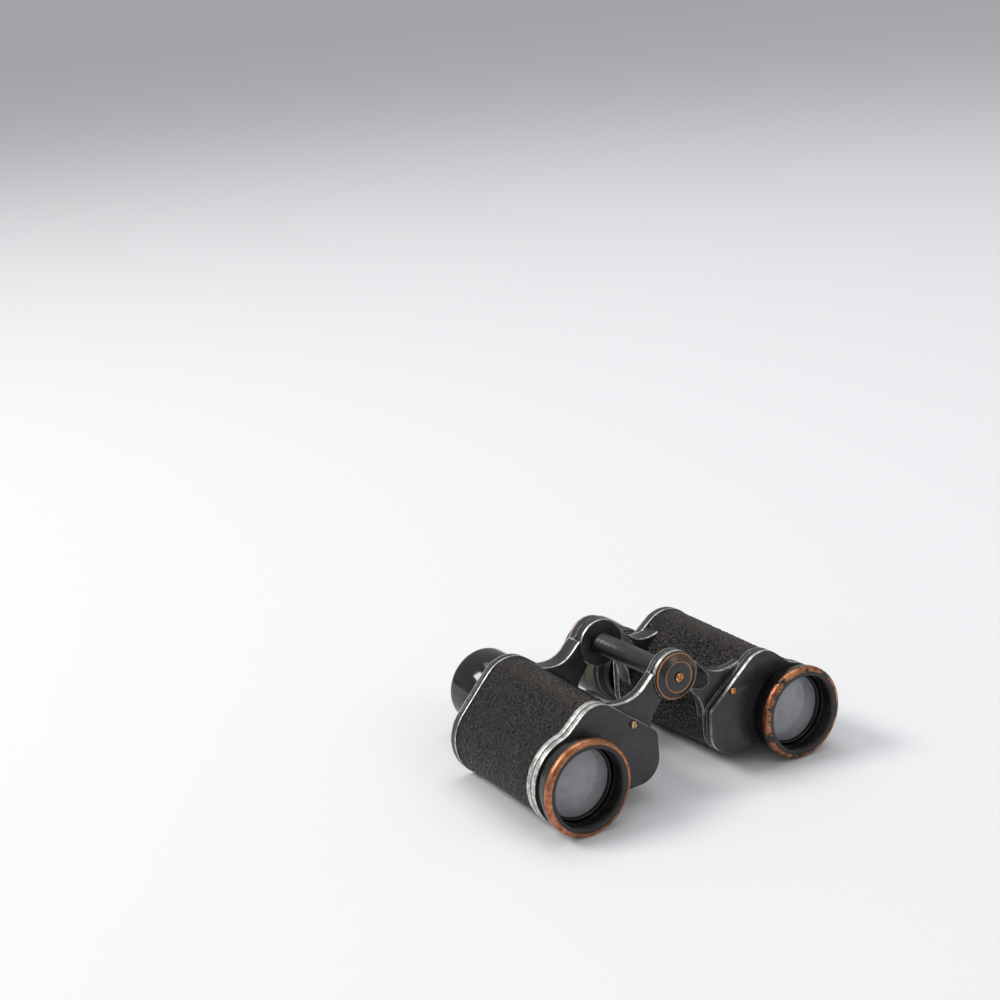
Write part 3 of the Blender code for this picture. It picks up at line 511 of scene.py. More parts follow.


# Pressed vulcanite leather-cloth: near black pebbles with a greasy shine on their tops, brown where it is
# rubbed, with painted shade darkening the valleys and painted pale glints on the tops. The pebbles themselves are
# in the mesh.
def vulcaniteLeather(name):
    material, add, place = newMaterial(name)
    pebble = add("Attribute", (), "Fac", attribute_name="pebble")
    rub = add("Attribute", (), "Fac", attribute_name="rub")
    blotch = add("TexNoise",
                 {"Vector": place, "Scale": 1 / 8.0, "Detail": 3.0, "Roughness": 0.55})
    fine = add("TexNoise", {"Vector": place, "Scale": 1 / 0.35, "Detail": 3.0, "Roughness": 0.6})
    # painted shade: the valleys between the pebbles are coloured darker than their tops
    base = add("Mix",
               {0: add("MapRange", (pebble, 0.05, 0.7), **smooth), 6: "#0d0a09", 7: "#211c1a"}, 2,
               data_type="RGBA")
    base = add("Mix", {0: add("MapRange", (blotch, 0.5, 0.75), **smooth), 6: base, 7: "#2a211c"},
               2, data_type="RGBA")
    base = add("Mix", {0: add("Math", (rub, 0.7), operation="MULTIPLY"), 6: base, 7: "#35281f"},
               2, data_type="RGBA")
    # painted highlights: pale glints put on the pebble tops
    paintedGlints = add("Math",
                 (add("MapRange",
                      (add("TexNoise", {"Vector": place, "Scale": 1 / 0.5, "Roughness": 0.55}),
                       0.7, 0.76), **smooth), add("MapRange", (pebble, 0.4, 0.8), **smooth)),
                 operation="MULTIPLY")
    base = add("Mix",
               {0: add("Math", (paintedGlints, 0.35), operation="MULTIPLY"), 6: base, 7: "#8a7d72"}, 2,
               data_type="RGBA")
    shine = add("Math",
                (add("MapRange", (pebble, 0.25, 0.85), **smooth),
                 add("Math", (1.0, add("Math", (rub, 0.6), operation="MULTIPLY")),
                     operation="SUBTRACT")), operation="MULTIPLY")
    lumps = add("TexVoronoi", {"Scale": 0.7, "Smoothness": 0.2, "Vector": place}, "Distance",
                feature="SMOOTH_F1")
    height = add("Math",
                 (add("Math", (fine, 0.15), operation="MULTIPLY"),
                  add("Math", (lumps, lumps), operation="MULTIPLY")), operation="SUBTRACT")
    relief = add("Bump", {"Height": height, "Strength": 1.0, "Distance": 1.6 * mm})
    shader = add("BsdfPrincipled",
                 {"Base Color": base, "Roughness": add("MapRange", (shine, 0, 1, 0.46, 0.13)),
                  "Normal": relief})
    add("OutputMaterial", {"Surface": shader})
    return material


# Compression-moulded black bakelite, polished: a deep mirror with faint hazing and hairlines.
def bakeliteGloss(name):
    material, add, place = newMaterial(name)
    haze = add("MapRange",
               (add("TexNoise",
                    {"Vector": place, "Scale": 1 / 4.0, "Detail": 4.0, "Roughness": 0.55}), 0.35,
                0.8), **smooth)
    hairs = add("MapRange",
                (add("TexNoise",
                     {"Vector": add("Mapping", {"Vector": place, "Scale": (0.15, 1.0, 1.0)}),
                      "Scale": 1 / 0.5}), 0.7, 0.74), **smooth)
    cloudy = add("Math", (haze, hairs), operation="MAXIMUM")
    relief = add("Bump",
                 {"Height": add("TexNoise",
                                {"Vector": place, "Scale": 1 / 5.0, "Detail": 1.0,
                                 "Roughness": 0.55}), "Strength": 0.2, "Distance": 0.03 * mm})
    shader = add("BsdfPrincipled",
                 {"Base Color": add("Mix", {0: haze, 6: "#0c0b0b", 7: "#161414"}, 2,
                                    data_type="RGBA"),
                  "Roughness": add("MapRange", (cloudy, 0, 1, 0.07, 0.17)), "IOR": 1.6,
                  "Normal": relief})
    add("OutputMaterial", {"Surface": shader})
    return material


# Polished uncoated crown glass, a little hazed with age; with a low clear share its grey tint is a painted
# reflection.
def opticalGlass(name, tint, clear, rough=0.03):
    material, add, place = newMaterial(name)
    haze = add("MapRange",
               (add("TexNoise",
                    {"Vector": place, "Scale": 1 / 6.0, "Detail": 3.0, "Roughness": 0.55}), 0.3,
                0.8), **smooth)
    dust = add("MapRange",
               (add("TexNoise", {"Vector": place, "Scale": 1 / 0.4, "Roughness": 0.55}), 0.72,
                0.78), **smooth)
    film = add("Mix", {0: haze, 6: tint, 7: "#86888c"}, 2, data_type="RGBA")
    shader = add("BsdfPrincipled",
                 {"Base Color": add("Mix",
                                    {0: add("Math", (dust, 0.4), operation="MULTIPLY"), 6: film,
                                     7: "#c8c8c4"}, 2, data_type="RGBA"),
                  "Roughness": add("MapRange", (dust, 0, 1, rough, 0.3)), "IOR": 1.52,
                  "Transmission Weight": clear})
    add("OutputMaterial", {"Surface": shader})
    return material


# Bare turned metal, dulled: fine lathe lines and dark tarnish in patches.
def turnedMetal(name, colour, dark, rough, size=0.5):
    material, add, place = newMaterial(name)
    patches = add("MapRange",
                  (add("TexNoise",
                       {"Vector": place, "Scale": 1 / 1.6, "Detail": 4.0, "Roughness": 0.65}),
                   0.42, 0.68), **smooth)
    lines = add("TexNoise",
                {"Vector": add("Mapping", {"Vector": place, "Scale": (1.0, 5.0, 1.0)}),
                 "Scale": 1 / size})
    relief = add("Bump", {"Height": lines, "Strength": 0.4, "Distance": 0.03 * mm})
    shader = add("BsdfPrincipled",
                 {"Base Color": add("Mix", {0: patches, 6: colour, 7: dark}, 2, data_type="RGBA"),
                  "Metallic": 1.0,
                  "Roughness": add("MapRange", (patches, 0, 1, rough, rough + 0.2)),
                  "Normal": relief})
    add("OutputMaterial", {"Surface": shader})
    return material


# The hinge cap's black enamel with copper showing at two turned rings and in the strokes of its
# setting scale.
def capEnamel(name, scale):
    material, add, place = newMaterial(name)
    radius = fromAxis(add, place, 0, 0)
    chips = add("TexNoise", {"Vector": place, "Scale": 1 / 0.8, "Detail": 5.0, "Roughness": 0.7})
    rings = 0.0
    for r, half in scale["rings"]:
        off = add("Math", (add("Math", (radius, r), operation="SUBTRACT"),), operation="ABSOLUTE")
        rings = add("Math", (add("MapRange", (off, half + 0.1, half - 0.1), **smooth), rings),
                    operation="MAXIMUM")
    rings = add("Math", (rings, add("MapRange", (chips, 0.24, 0.34), **smooth)),
                operation="MULTIPLY")
    across, up = add("SeparateXYZ", (place,), 0), add("SeparateXYZ", (place,), 2)
    angle = add("Math", (across, up), operation="ARCTAN2")
    beat = add("Math",
               (add("Math", (angle, scale["strokes"] / (2 * math.pi)), operation="MULTIPLY"),),
               operation="FRACT")
    stroke = add("MapRange",
                 (add("Math", (add("Math", (beat, 0.5), operation="SUBTRACT"),),
                      operation="ABSOLUTE"), 0.16, 0.08), **smooth)
    aside = add("Math", (add("Math", (angle, scale["middle"]), operation="SUBTRACT"),),
                operation="ABSOLUTE")
    arc = add("MapRange", (aside, scale["half"] + 0.05, scale["half"] - 0.05), **smooth)
    low, high = scale["reach"]
    cone = add("Math",
               (add("MapRange", (radius, low - 0.1, low + 0.1), **smooth),
                add("MapRange", (radius, high + 0.1, high - 0.1), **smooth)),
               operation="MULTIPLY")
    strokes = add("Math", (add("Math", (stroke, arc), operation="MULTIPLY"), cone),
                  operation="MULTIPLY")
    worn = add("Math", (rings, add("Math", (strokes, 0.8), operation="MULTIPLY")),
               operation="MAXIMUM")
    base = add("Mix",
               {0: add("MapRange",
                       (add("TexNoise",
                            {"Vector": place, "Scale": 1 / 3.0, "Detail": 3.0, "Roughness": 0.55}),
                        0.35, 0.7), **smooth), 6: "#1d1c1e", 7: "#2e2c2e"}, 2, data_type="RGBA")
    tone = add("Mix",
               {0: add("MapRange", (chips, 0.4, 0.7), **smooth), 6: "#c08a66", 7: "#8a5a40"}, 2,
               data_type="RGBA")
    relief = add("Bump",
                 {"Height": add("Math", (chips, worn), operation="SUBTRACT"), "Strength": 0.4,
                  "Distance": 0.03 * mm})
    shader = add("BsdfPrincipled",
                 {"Base Color": add("Mix", {0: worn, 6: base, 7: tone}, 2, data_type="RGBA"),
                  "Metallic": worn, "Roughness": add("MapRange", (worn, 0, 1, 0.24, 0.38)),
                  "Normal": relief})
    add("OutputMaterial", {"Surface": shader})
    return material


# The hinge tube's enamel, gone greenish brown with dust and grease along its length.
def dustedTube(name):
    material, add, place = newMaterial(name)
    streak = add("MapRange",
                 (add("TexNoise",
                      {"Vector": add("Mapping", {"Vector": place, "Scale": (1.0, 0.12, 1.0)}),
                       "Scale": 1 / 1.6, "Detail": 4.0, "Roughness": 0.6}), 0.35, 0.7), **smooth)
    dust = add("MapRange",
               (add("TexNoise",
                    {"Vector": place, "Scale": 1 / 1.1, "Detail": 4.0, "Roughness": 0.65}), 0.45,
                0.75), **smooth)
    base = add("Mix", {0: streak, 6: "#161514", 7: "#2c2a24"}, 2, data_type="RGBA")
    relief = add("Bump", {"Height": dust, "Strength": 0.5, "Distance": 0.04 * mm})
    shader = add("BsdfPrincipled",
                 {"Base Color": add("Mix",
                                    {0: add("Math", (dust, 0.6), operation="MULTIPLY"), 6: base,
                                     7: "#3b382e"}, 2, data_type="RGBA"),
                  "Roughness": add("MapRange", (dust, 0, 1, 0.34, 0.7)), "Normal": relief})
    add("OutputMaterial", {"Surface": shader})
    return material


# Black lacquered brass knurling with grey-olive dirt packed between its ridges.
def knurledBrass(name, x, z, grooveIn, grooveOut):
    material, add, place = newMaterial(name)
    near = add("Math", (fromAxis(add, place, x, z), fromAxis(add, place, -x, z)),
               operation="MINIMUM")
    groove = add("Math",
                 (add("MapRange", (near, grooveOut, grooveOut - 0.35), **smooth),
                  add("MapRange", (near, grooveIn, grooveIn + 0.2), **smooth)),
                 operation="MULTIPLY")
    dust = add("MapRange",
               (add("TexNoise",
                    {"Vector": place, "Scale": 1 / 1.5, "Detail": 4.0, "Roughness": 0.6}), 0.35,
                0.7), **smooth)
    edge = rubbedEdges(add, 0.25)
    rubs = add("MapRange",
               (add("Math",
                    (add("Math", (edge, 0.6), operation="MULTIPLY"),
                     add("TexNoise",
                         {"Vector": place, "Scale": 1 / 0.8, "Detail": 4.0, "Roughness": 0.7})),
                    operation="ADD"), 0.9, 1.05), **smooth)
    base = add("Mix",
               {0: add("Math", (dust, 0.4), operation="MULTIPLY"), 6: "#151414", 7: "#34322c"}, 2,
               data_type="RGBA")
    base = add("Mix", {0: groove, 6: base, 7: "#4a4a40"}, 2, data_type="RGBA")
    base = add("Mix", {0: rubs, 6: base, 7: "#8d6a4c"}, 2, data_type="RGBA")
    relief = add("Bump", {"Height": dust, "Strength": 0.4, "Distance": 0.04 * mm})
    shader = add("BsdfPrincipled",
                 {"Base Color": base, "Metallic": add("Math", (rubs, 0.9), operation="MULTIPLY"),
                  "Roughness": add("MapRange",
                                   (add("Math", (groove, dust), operation="MAXIMUM"), 0, 1, 0.28,
                                    0.6)), "Normal": relief})
    add("OutputMaterial", {"Surface": shader})
    return material


arms = {"front": (flangeY + 1.2, flangeY + 6.5), "rear": (leatherRear - 8.2, leatherRear + 0.8),
        "knuckle": 10.2, "pin": 3.28, "edge": 0.35, "lugGap": 0.15}
farOut, plateY = 200.0, body["frontPlate"]
frontArmY, rearArmY = arms["front"][0], arms["rear"][0]
armLines = [(frontArmY - 0.2, frontArmY + 1.2, 1.0, 25.0),
            (frontArmY + 4.8, frontArmY + 5.4, 0.75, 34.0),
            (rearArmY - 0.2, rearArmY + 1.0, 1.0, 38.0),
            (leatherRear - 0.1, leatherRear + 0.7, 0.95, farOut)]
plainEnamel = stovedEnamel("stoved enamel on cast alloy", 0.62,
                           [(rearFaceY - 0.7, rearFaceY + 0.1, 0.85, farOut)])
leftPlateEnamel = stovedEnamel("stoved enamel, rim worn bare", 0.72,
                               [(plateY - 1.0, leatherFront + 0.5, 0.95, farOut)], 0.9)
rightPlateEnamel = stovedEnamel("stoved enamel, rim worn in a line", 0.70,
                                [(plateY - 1.0, plateY + 1.5, 1.0, farOut)], 0.7)
castingEnamel = stovedEnamel("stoved enamel, arm edges rubbed", 0.66,
                             [*armLines, (leatherFront - 0.5, leatherFront + 0.1, 0.8, farOut)])
leftCastingEnamel = stovedEnamel("stoved enamel, left flange bare", 0.66,
                                 [*armLines,
                                  (flangeY - 0.3, leatherFront + 0.3, 0.9, farOut)])
leather = vulcaniteLeather("vulcanite leather-cloth")
leftLacquer = lacquerOnBrass("lacquered brass, left rim", -objective.x, objective.z, 0.52,
                             [(-1.0, 2.6, 17.8)])
rightLacquer = lacquerOnBrass("lacquered brass, right rim", objective.x, objective.z, 0.36,
                              [(-1.0, 2.4, 17.8)])
neckLacquer = lacquerOnBrass("lacquered brass, neck", ocular.x, ocular.z, 0.47,
                             [(rearFaceY, rearFaceY + 6.0, 12.4)], 0.22, "#8a5c42")
knurled = knurledBrass("knurled lacquered brass", ocular.x, ocular.z, 15.9, 16.6)
bakelite = bakeliteGloss("polished bakelite")
# painted reflection: the objective's near-opaque light grey base colour stands for the light its glass reflects
objectiveGlassPaintedReflection = opticalGlass("hazed crown glass", "#9a9c9f", 0.05)
eyeGlass = opticalGlass("polished crown glass", "#909296", 0.75)
prismGlass = opticalGlass("prism glass", "#c0c4c6", 0.9)
capBlack = capEnamel("enamelled hinge cap",
                     {"rings": [(9.55, 0.32), (6.35, 0.24)], "strokes": 46,
                      "reach": (7.0, 9.0), "middle": 0.35, "half": 0.7})
screwBrass = turnedMetal("tarnished screw brass", "#ecd2a6", "#b08a5c", 0.30)
copperScrew = turnedMetal("copper-toned screw", "#dc9c68", "#a5693f", 0.30)
springSteel = turnedMetal("blued spring steel", "#8d9096", "#4c4d52", 0.32)
tubeEnamel = dustedTube("dusty hinge enamel")
blackRing = lacquerOnBrass("blackened retaining ring", objective.x, objective.z, 0.0, [], 0.3)
print("materials ready")

# castings: flanges, core wall and hinge arms
core = {"rows": 12, "columns": 120}
inner = body["inner"]
webRoot = arcPoints(arms["knuckle"] + 0.55, -48, 20, 10) + [
    (inner + 0.4, 0.2), (inner + 3.1, -2.2), (inner + 6.6, -3.9)]
webTail = [(inner + 3.0, -19.0), (inner + 1.6, -24.0), (inner + 0.5, -24.0),
           (inner - 0.2, -16.6), (inner - 1.6, -13.6), (inner - 3.8, -11.0)]
frontWeb = [*webRoot, (24.0, -4.7), (29.0, -4.6), (34.0, -3.2), (38.0, -2.2), (36.0, -4.0),
            *webTail]
rearWeb = [*webRoot, (24.0, -4.3), (29.0, -3.6), (34.0, -1.6), (38.0, -0.4), (36.0, -2.4),
           *webTail]


def castingPiece(lugHalf):
    wallOut = body["leatherSink"] + body["leather"] + body["gap"]
    cavity = wallOut + body["wall"]
    pieces = [
        platePiece([section(flangeY, 0), section(flangeY, cavity)], flangeY, leatherFront, 0.25),
        platePiece([section(rearFlangeY, 0), section(rearFlangeY, cavity)], leatherRear,
                   rearFlangeY, 0.25),
    ]
    for tag, web in (("front", frontWeb), ("rear", rearWeb)):
        y0, y1 = arms[tag]
        middle = (y0 + y1) / 2
        low, high = y0, middle - arms["lugGap"]
        if lugHalf == "rear":
            low, high = middle + arms["lugGap"], y1
        pieces.append(platePiece([cutCorners(web)], y0, y1, arms["edge"]))
        neck = [(13.4, -9.8), (16.5, -8.0), (16.5, -4.0), (13.2, -0.2)]
        lug = arcPoints(arms["knuckle"], 32, 312, 72) + neck
        pieces.append(platePiece([lug, ringPoints(0, 0, arms["pin"], 48)], low, high, 0.3))
    pieces.append(wallPiece(wallOut, cavity, core["rows"], core["rows"], core["columns"]))
    return joined(pieces, "casting")


# The barrel's wall between two depths under its outline: a grid wrapped round and closed.
def wallPiece(outerDepth, innerDepth, rows, innerRows, columns):
    clearSelection()
    bpy.ops.mesh.primitive_grid_add(x_subdivisions=columns,
                                    y_subdivisions=rows + innerRows + 1, size=1)
    piece = bpy.context.object
    y0, y1 = leatherFront + body["gap"], leatherRear - body["gap"]
    across = columns + 1
    loops = []
    shares = [(outerDepth, k / rows) for k in range(rows + 1)]
    shares += [(innerDepth, k / innerRows) for k in range(innerRows, -1, -1)]
    for depth, share in shares:
        y = y0 + (y1 - y0) * share
        ring = evenly(section(y, depth), columns)
        loops.append([(p.x, y, p.y) for p in ring + ring[:1]])
    for i, vertex in enumerate(piece.data.vertices):
        vertex.co = loops[i // across][i % across]
    bpy.ops.object.mode_set(mode="EDIT")
    bpy.ops.mesh.select_all(action="SELECT")
    bpy.ops.mesh.remove_doubles(threshold=0.002)
    bpy.ops.mesh.select_mode(type="EDGE")
    bpy.ops.mesh.select_all(action="DESELECT")
    bpy.ops.mesh.select_non_manifold()
    bpy.ops.mesh.bridge_edge_loops()
    bpy.ops.mesh.select_mode(type="VERT")
    bpy.ops.object.mode_set(mode="OBJECT")
    outward(piece)
    return piece


for side, lugHalf, material in (("right", "front", castingEnamel),
                                ("left", "rear", leftCastingEnamel)):
    casting = castingPiece(lugHalf)
    if side == "left":
        drawn = casting
        casting = mirrored(drawn, "left")
        bpy.data.objects.remove(drawn)
    shade(casting)
    finishPiece(casting, f"{side}_casting", material, f"{side}_barrel", "black_enamel",
                f"{side}_housing")
print("castings ready")

# leatherette: the pebbles are real relief
pebbles = {"size": 1.5, "height": 0.42, "rows": 150, "innerRows": 2, "columns": 600,
           "rub": 6.5, "fade": 1.2}


# 0 in a valley to 1 on a pebble's top, with the pebbles drawn out a little along the wrap.
def pebbleRelief(point):
    wander = noise.noise_vector(point * 0.35) * 0.5
    spot = Vector((point.x, point.y * 1.25, point.z)) / pebbles["size"] + wander
    near = noise.voronoi(spot)[0]
    dome = max(1.0 - (near[0] / 0.8) ** 2, 0.0)
    return dome * min((near[1] - near[0]) * 3.0, 1.0) ** 0.7


def leatherPiece():
    outer, innerSide = body["leatherSink"], body["leatherSink"] + body["leather"]
    piece = wallPiece(outer, innerSide, pebbles["rows"], pebbles["innerRows"],
                      pebbles["columns"])
    mesh = piece.data
    height = mesh.attributes.new("pebble", "FLOAT", "POINT")
    rubbed = mesh.attributes.new("rub", "FLOAT", "POINT")
    moves = []
    for vertex, normal in zip(mesh.vertices, mesh.vertex_normals):
        point, n = vertex.co, normal.vector
        away = Vector((n.x, 0, n.z))
        onFace = away.length > 0.5
        y = min(max((point.y - leatherFront) / body["length"], 0), 1)
        ridge = Vector((41.5 + 0.6 * y, 0.3 + 1.9 * y))       # along the shoulder
        off = (Vector((point.x, point.z)) - ridge).length
        patchy = 0.7 + 0.6 * noise.noise(point * 0.2)
        rub = min(max(min(max(1.25 - off / pebbles["rub"], 0), 1) * patchy, 0), 1)
        relief = pebbleRelief(point) if onFace else 0.0
        height.data[vertex.index].value = relief
        rubbed.data[vertex.index].value = rub
        fade = min(max((point.y - leatherFront) / pebbles["fade"], 0),
                   max((leatherRear - point.y) / pebbles["fade"], 0), 1)
        depth = (relief - 1.0) * pebbles["height"] * (1 - 0.65 * rub) * fade
        moves.append(n * depth if onFace else Vector())
    for vertex, move in zip(mesh.vertices, moves):
        vertex.co += move
    return piece


wrap = leatherPiece()
shade(wrap, 60)
twin = mirrored(wrap, "left_wrap")
for side, piece in (("right", wrap), ("left", twin)):
    finishPiece(piece, f"{side}_wrap", leather, f"{side}_barrel", "leatherette",
                f"{side}_leatherette")
print("leatherette ready")

# cover plates
screws = {"front": (inner + 11.6, ocular.z + 13.6), "rear": (ocular.x + 12.5, ocular.z + 26.4),
          "head": 1.4, "rise": 1.1, "slot": 0.5, "deep": 0.4, "shank": 0.7, "hole": 0.85,
          "frontLength": 5.0, "rearLength": 4.0, "turn": 0.6}
frontPlate = platePiece(
    [rounded(frontOutline), ringPoints(objective.x, objective.z, 16.6),
     ringPoints(*screws["front"], screws["hole"], 24)],
    body["frontPlate"], flangeY - body["gap"], 0.4)
rearPlate = platePiece(
    [rounded(inset(rearOutline, 0.1)), ringPoints(ocular.x, ocular.z, 12.0),
     ringPoints(*screws["rear"], screws["hole"], 24)], rearPlateY, rearFaceY, 0.35)
for tag, piece in (("front", frontPlate), ("rear", rearPlate)):
    shade(piece)
    twin = mirrored(piece, "left_plate")
    for side, copy in (("right", piece), ("left", twin)):
        material = plainEnamel
        if tag == "front":
            material = leftPlateEnamel if side == "left" else rightPlateEnamel
        finishPiece(copy, f"{side}_{tag}_plate", material, f"{side}_barrel", "black_enamel",
                    f"{side}_{tag}_cover_plate")


# A round head with a sawn slot, on its shank.
def slottedScrew(x, z, face, out, head, rise, shank, length, turn):
    tip = face - out * length
    profile = [(shank, tip), (shank, face + out * 0.3), (head, face + out * 0.3),
               (head, face + out * (rise - 0.35)), (head * 0.86, face + out * (rise - 0.08)),
               (head * 0.55, face + out * (rise + 0.06)), (0, face + out * (rise + 0.1))]
    screw = turnPiece(profile, x, z, 32, closed=False)
    clearSelection()
    bpy.ops.mesh.primitive_cube_add(size=1, location=(x, face + out * (rise + 0.1), z),
                                    rotation=(0, turn, 0),
                                    scale=(screws["slot"], 2 * screws["deep"], 4 * head))
    saw = bpy.context.object
    cut = screw.modifiers.new("slot", "BOOLEAN")
    cut.operation = "DIFFERENCE"
    cut.object = saw
    activate(screw)
    bpy.ops.object.modifier_apply(modifier=cut.name)
    bpy.data.objects.remove(saw)
    outward(screw)
    shade(screw, 40)
    return screw


for side, sign, brass in (("left", -1, screwBrass), ("right", 1, copperScrew)):
    for tag, face, out in (("front", body["frontPlate"], -1), ("rear", rearFaceY, 1)):
        x, z = screws[tag]
        screw = slottedScrew(sign * x, z, face, out, screws["head"], screws["rise"],
                             screws["shank"], screws[f"{tag}Length"], screws["turn"])
        finishPiece(screw, f"{side}_{tag}_screw", brass, f"{side}_barrel", "brass",
                    f"{side}_{tag}_cover_screw")
print("cover plates ready")

# objectives
tubeShape = {"rim": 19.75, "tube": 18.3, "recess": 15.6, "cell": 16.3, "seat": 11.8, "back": 19.0,
             "threads": 7, "pitch": 0.62}


def objectiveTube():
    rim, tube, recess = tubeShape["rim"], tubeShape["tube"], tubeShape["recess"]
    shoulder = body["frontPlate"] - body["gap"]
    profile = [(tubeShape["cell"], tubeShape["back"]), (tubeShape["cell"], shoulder),
               (tube, shoulder), (tube, 6.4), (tube + 0.12, 5.9), (tube + 0.5, 5.35),
               (rim - 0.25, 4.75), (rim, 4.0), (rim, 1.9), (rim - 0.12, 1.2), (rim - 0.5, 0.55),
               (rim - 1.1, 0.12), (rim - 1.7, 0.0), (recess + 1.3, 0.0), (recess + 0.55, 0.2),
               (recess + 0.1, 0.75), (recess, 1.5)]
    y = 1.9
    for _ in range(tubeShape["threads"]):                   # glare-stopping grooves
        profile += [(recess, y), (recess + 0.22, y + tubeShape["pitch"] / 2)]
        y += tubeShape["pitch"]
    profile += [(recess, y), (recess, tubeShape["seat"]), (recess - 1.9, tubeShape["seat"]),
                (recess - 1.1, tubeShape["back"])]
    return turnPiece(profile, objective.x, objective.z, 128, edge=0.12)


def objectiveLens():
    r, rear = tubeShape["recess"] - 0.3, tubeShape["seat"] - 0.3
    front = [(r * math.cos(k * math.pi / 16), rear - 2.0 - 1.0 * math.sin(k * math.pi / 16))
             for k in range(8)]
    return turnPiece([(r, rear), *front, (0, rear - 3.0)], objective.x, objective.z, 96, False)


def retainingRing():
    r, back = tubeShape["recess"] - 0.3, tubeShape["seat"] - 2.6
    profile = [(r, back), (r, back - 1.2), (r - 0.35, back - 1.3), (r - 0.7, back - 1.15),
               (r - 1.1, back - 0.35), (r - 1.1, back)]
    return turnPiece(profile, objective.x, objective.z, 96, edge=0.06)


objectiveSet = (("objective_tube", objectiveTube(), "lacquered_brass"),
                ("objective_lens", objectiveLens(), "lens_glass"),
                ("objective_retaining_ring", retainingRing(), "blackened_brass"))
for node, piece, slotName in objectiveSet:
    shade(piece, 30)
    twin = mirrored(piece, "left_objective")
    for side, copy in (("right", piece), ("left", twin)):
        material = {"objective_tube": leftLacquer if side == "left" else rightLacquer,
                    "objective_lens": objectiveGlassPaintedReflection, "objective_retaining_ring": blackRing}[node]
        label = {"objective_tube": "front_tube", "objective_lens": "front_lens",
                 "objective_retaining_ring": "front_ring"}[node]
        finishPiece(copy, f"{side}_{label}", material, f"{side}_barrel", slotName,
                    f"{side}_{node}")
print("objectives ready")

# eyepieces
eyepiece = {"neck": 14.4, "thread": 12.2, "tube": 9.8, "scale": 14.0, "knurl": 16.6,
            "cup": 17.25, "mouth": 15.4, "front": 85.8, "rear": 101.2, "cupRear": 119.2,
            "neckTop": 94.2, "cone": 3.2, "ridges": 90, "ridgeDepth": 0.42}
neckFoot = rearFaceY + body["gap"]


def eyepieceNeck():
    r, neck, top = eyepiece["thread"], eyepiece["neck"], eyepiece["neckTop"]
    bore, plug = eyepiece["tube"] + 0.3, eyepiece["thread"] - 0.5
    cone = neckFoot + eyepiece["cone"]
    profile = [(bore, top), (r - 0.3, top), (r, top - 0.3), (r, cone),
               (r + 0.3, cone - 0.5), (neck - 0.7, neckFoot + 1.6), (neck - 0.5, neckFoot + 1.3),
               (neck - 0.05, neckFoot + 1.2), (neck, neckFoot + 0.9), (neck, neckFoot),
               (plug, neckFoot), (plug, rearFlangeY - 2.0), (bore, rearFlangeY - 2.0)]
    return turnPiece(profile, ocular.x, ocular.z, 96, edge=0.1)


def slidingTube():
    tube, rear = eyepiece["tube"], eyepiece["rear"]
    bore, end = tube - 1.4, rear + 2.2
    profile = [(eyepiece["thread"], end), (eyepiece["thread"], rear + 0.3), (tube, rear + 0.3),
               (tube, rearFaceY + 2.2), (bore, rearFaceY + 2.2), (bore, rearFaceY + 7.9),
               (bore - 1.2, rearFaceY + 7.9), (bore - 1.2, rear - 3.6), (bore, rear - 3.6),
               (bore, end)]
    return turnPiece(profile, ocular.x, ocular.z, 72, edge=0.1)


def eyeLens():
    r = eyepiece["tube"] - 1.7
    edge = eyepiece["rear"] - 0.4
    dome = [(r * math.cos(k * math.pi / 14), edge + 1.3 * math.sin(k * math.pi / 14))
            for k in range(7)]
    return turnPiece([(r, edge - 2.9), *dome, (0, edge + 1.3)], ocular.x, ocular.z, 72, False)


def focusRing():
    scale, knurl, thread = eyepiece["scale"], eyepiece["knurl"], eyepiece["thread"] + 0.3
    front, rear, bore = eyepiece["front"], eyepiece["rear"], eyepiece["tube"] + 0.3
    profile = [(knurl - 0.4, rear), (knurl, rear - 0.4), (knurl, front + 8.8),
               (knurl - 0.35, front + 8.4), (knurl - 0.8, front + 8.3), (knurl - 0.9, front + 5.9),
               (knurl - 0.8, front + 5.5), (knurl - 1.0, front + 5.1), (scale + 0.1, front + 4.5),
               (scale, front + 4.4), (scale, front + 0.9), (scale - 0.15, front + 0.8),
               (scale - 0.15, front + 0.5), (scale, front + 0.4), (scale - 0.2, front),
               (thread, front), (thread, rear - 2.4), (bore, rear - 2.4), (bore, rear)]
    segments = 2 * eyepiece["ridges"]
    piece = turnPiece(profile, ocular.x, ocular.z, segments, edge=0.08)
    activate(piece)
    bpy.ops.object.mode_set(mode="EDIT")
    mesh = bmesh.from_edit_mesh(piece.data)
    for vertex in mesh.verts:
        out = Vector((vertex.co.x - ocular.x, vertex.co.z - ocular.z))
        beat = round(math.atan2(out.y, out.x) * segments / (2 * math.pi))
        onBand = front + 8.7 < vertex.co.y < rear - 0.3 and out.length > knurl - 0.2
        vertex.select_set(onBand and beat % 2 == 0)
    mesh.select_flush(False)
    bmesh.update_edit_mesh(piece.data)
    shrink = 1 - eyepiece["ridgeDepth"] / knurl
    bpy.ops.transform.resize(value=(shrink, 1, shrink), center_override=(ocular.x, 0, ocular.z))
    bpy.ops.object.mode_set(mode="OBJECT")
    return piece


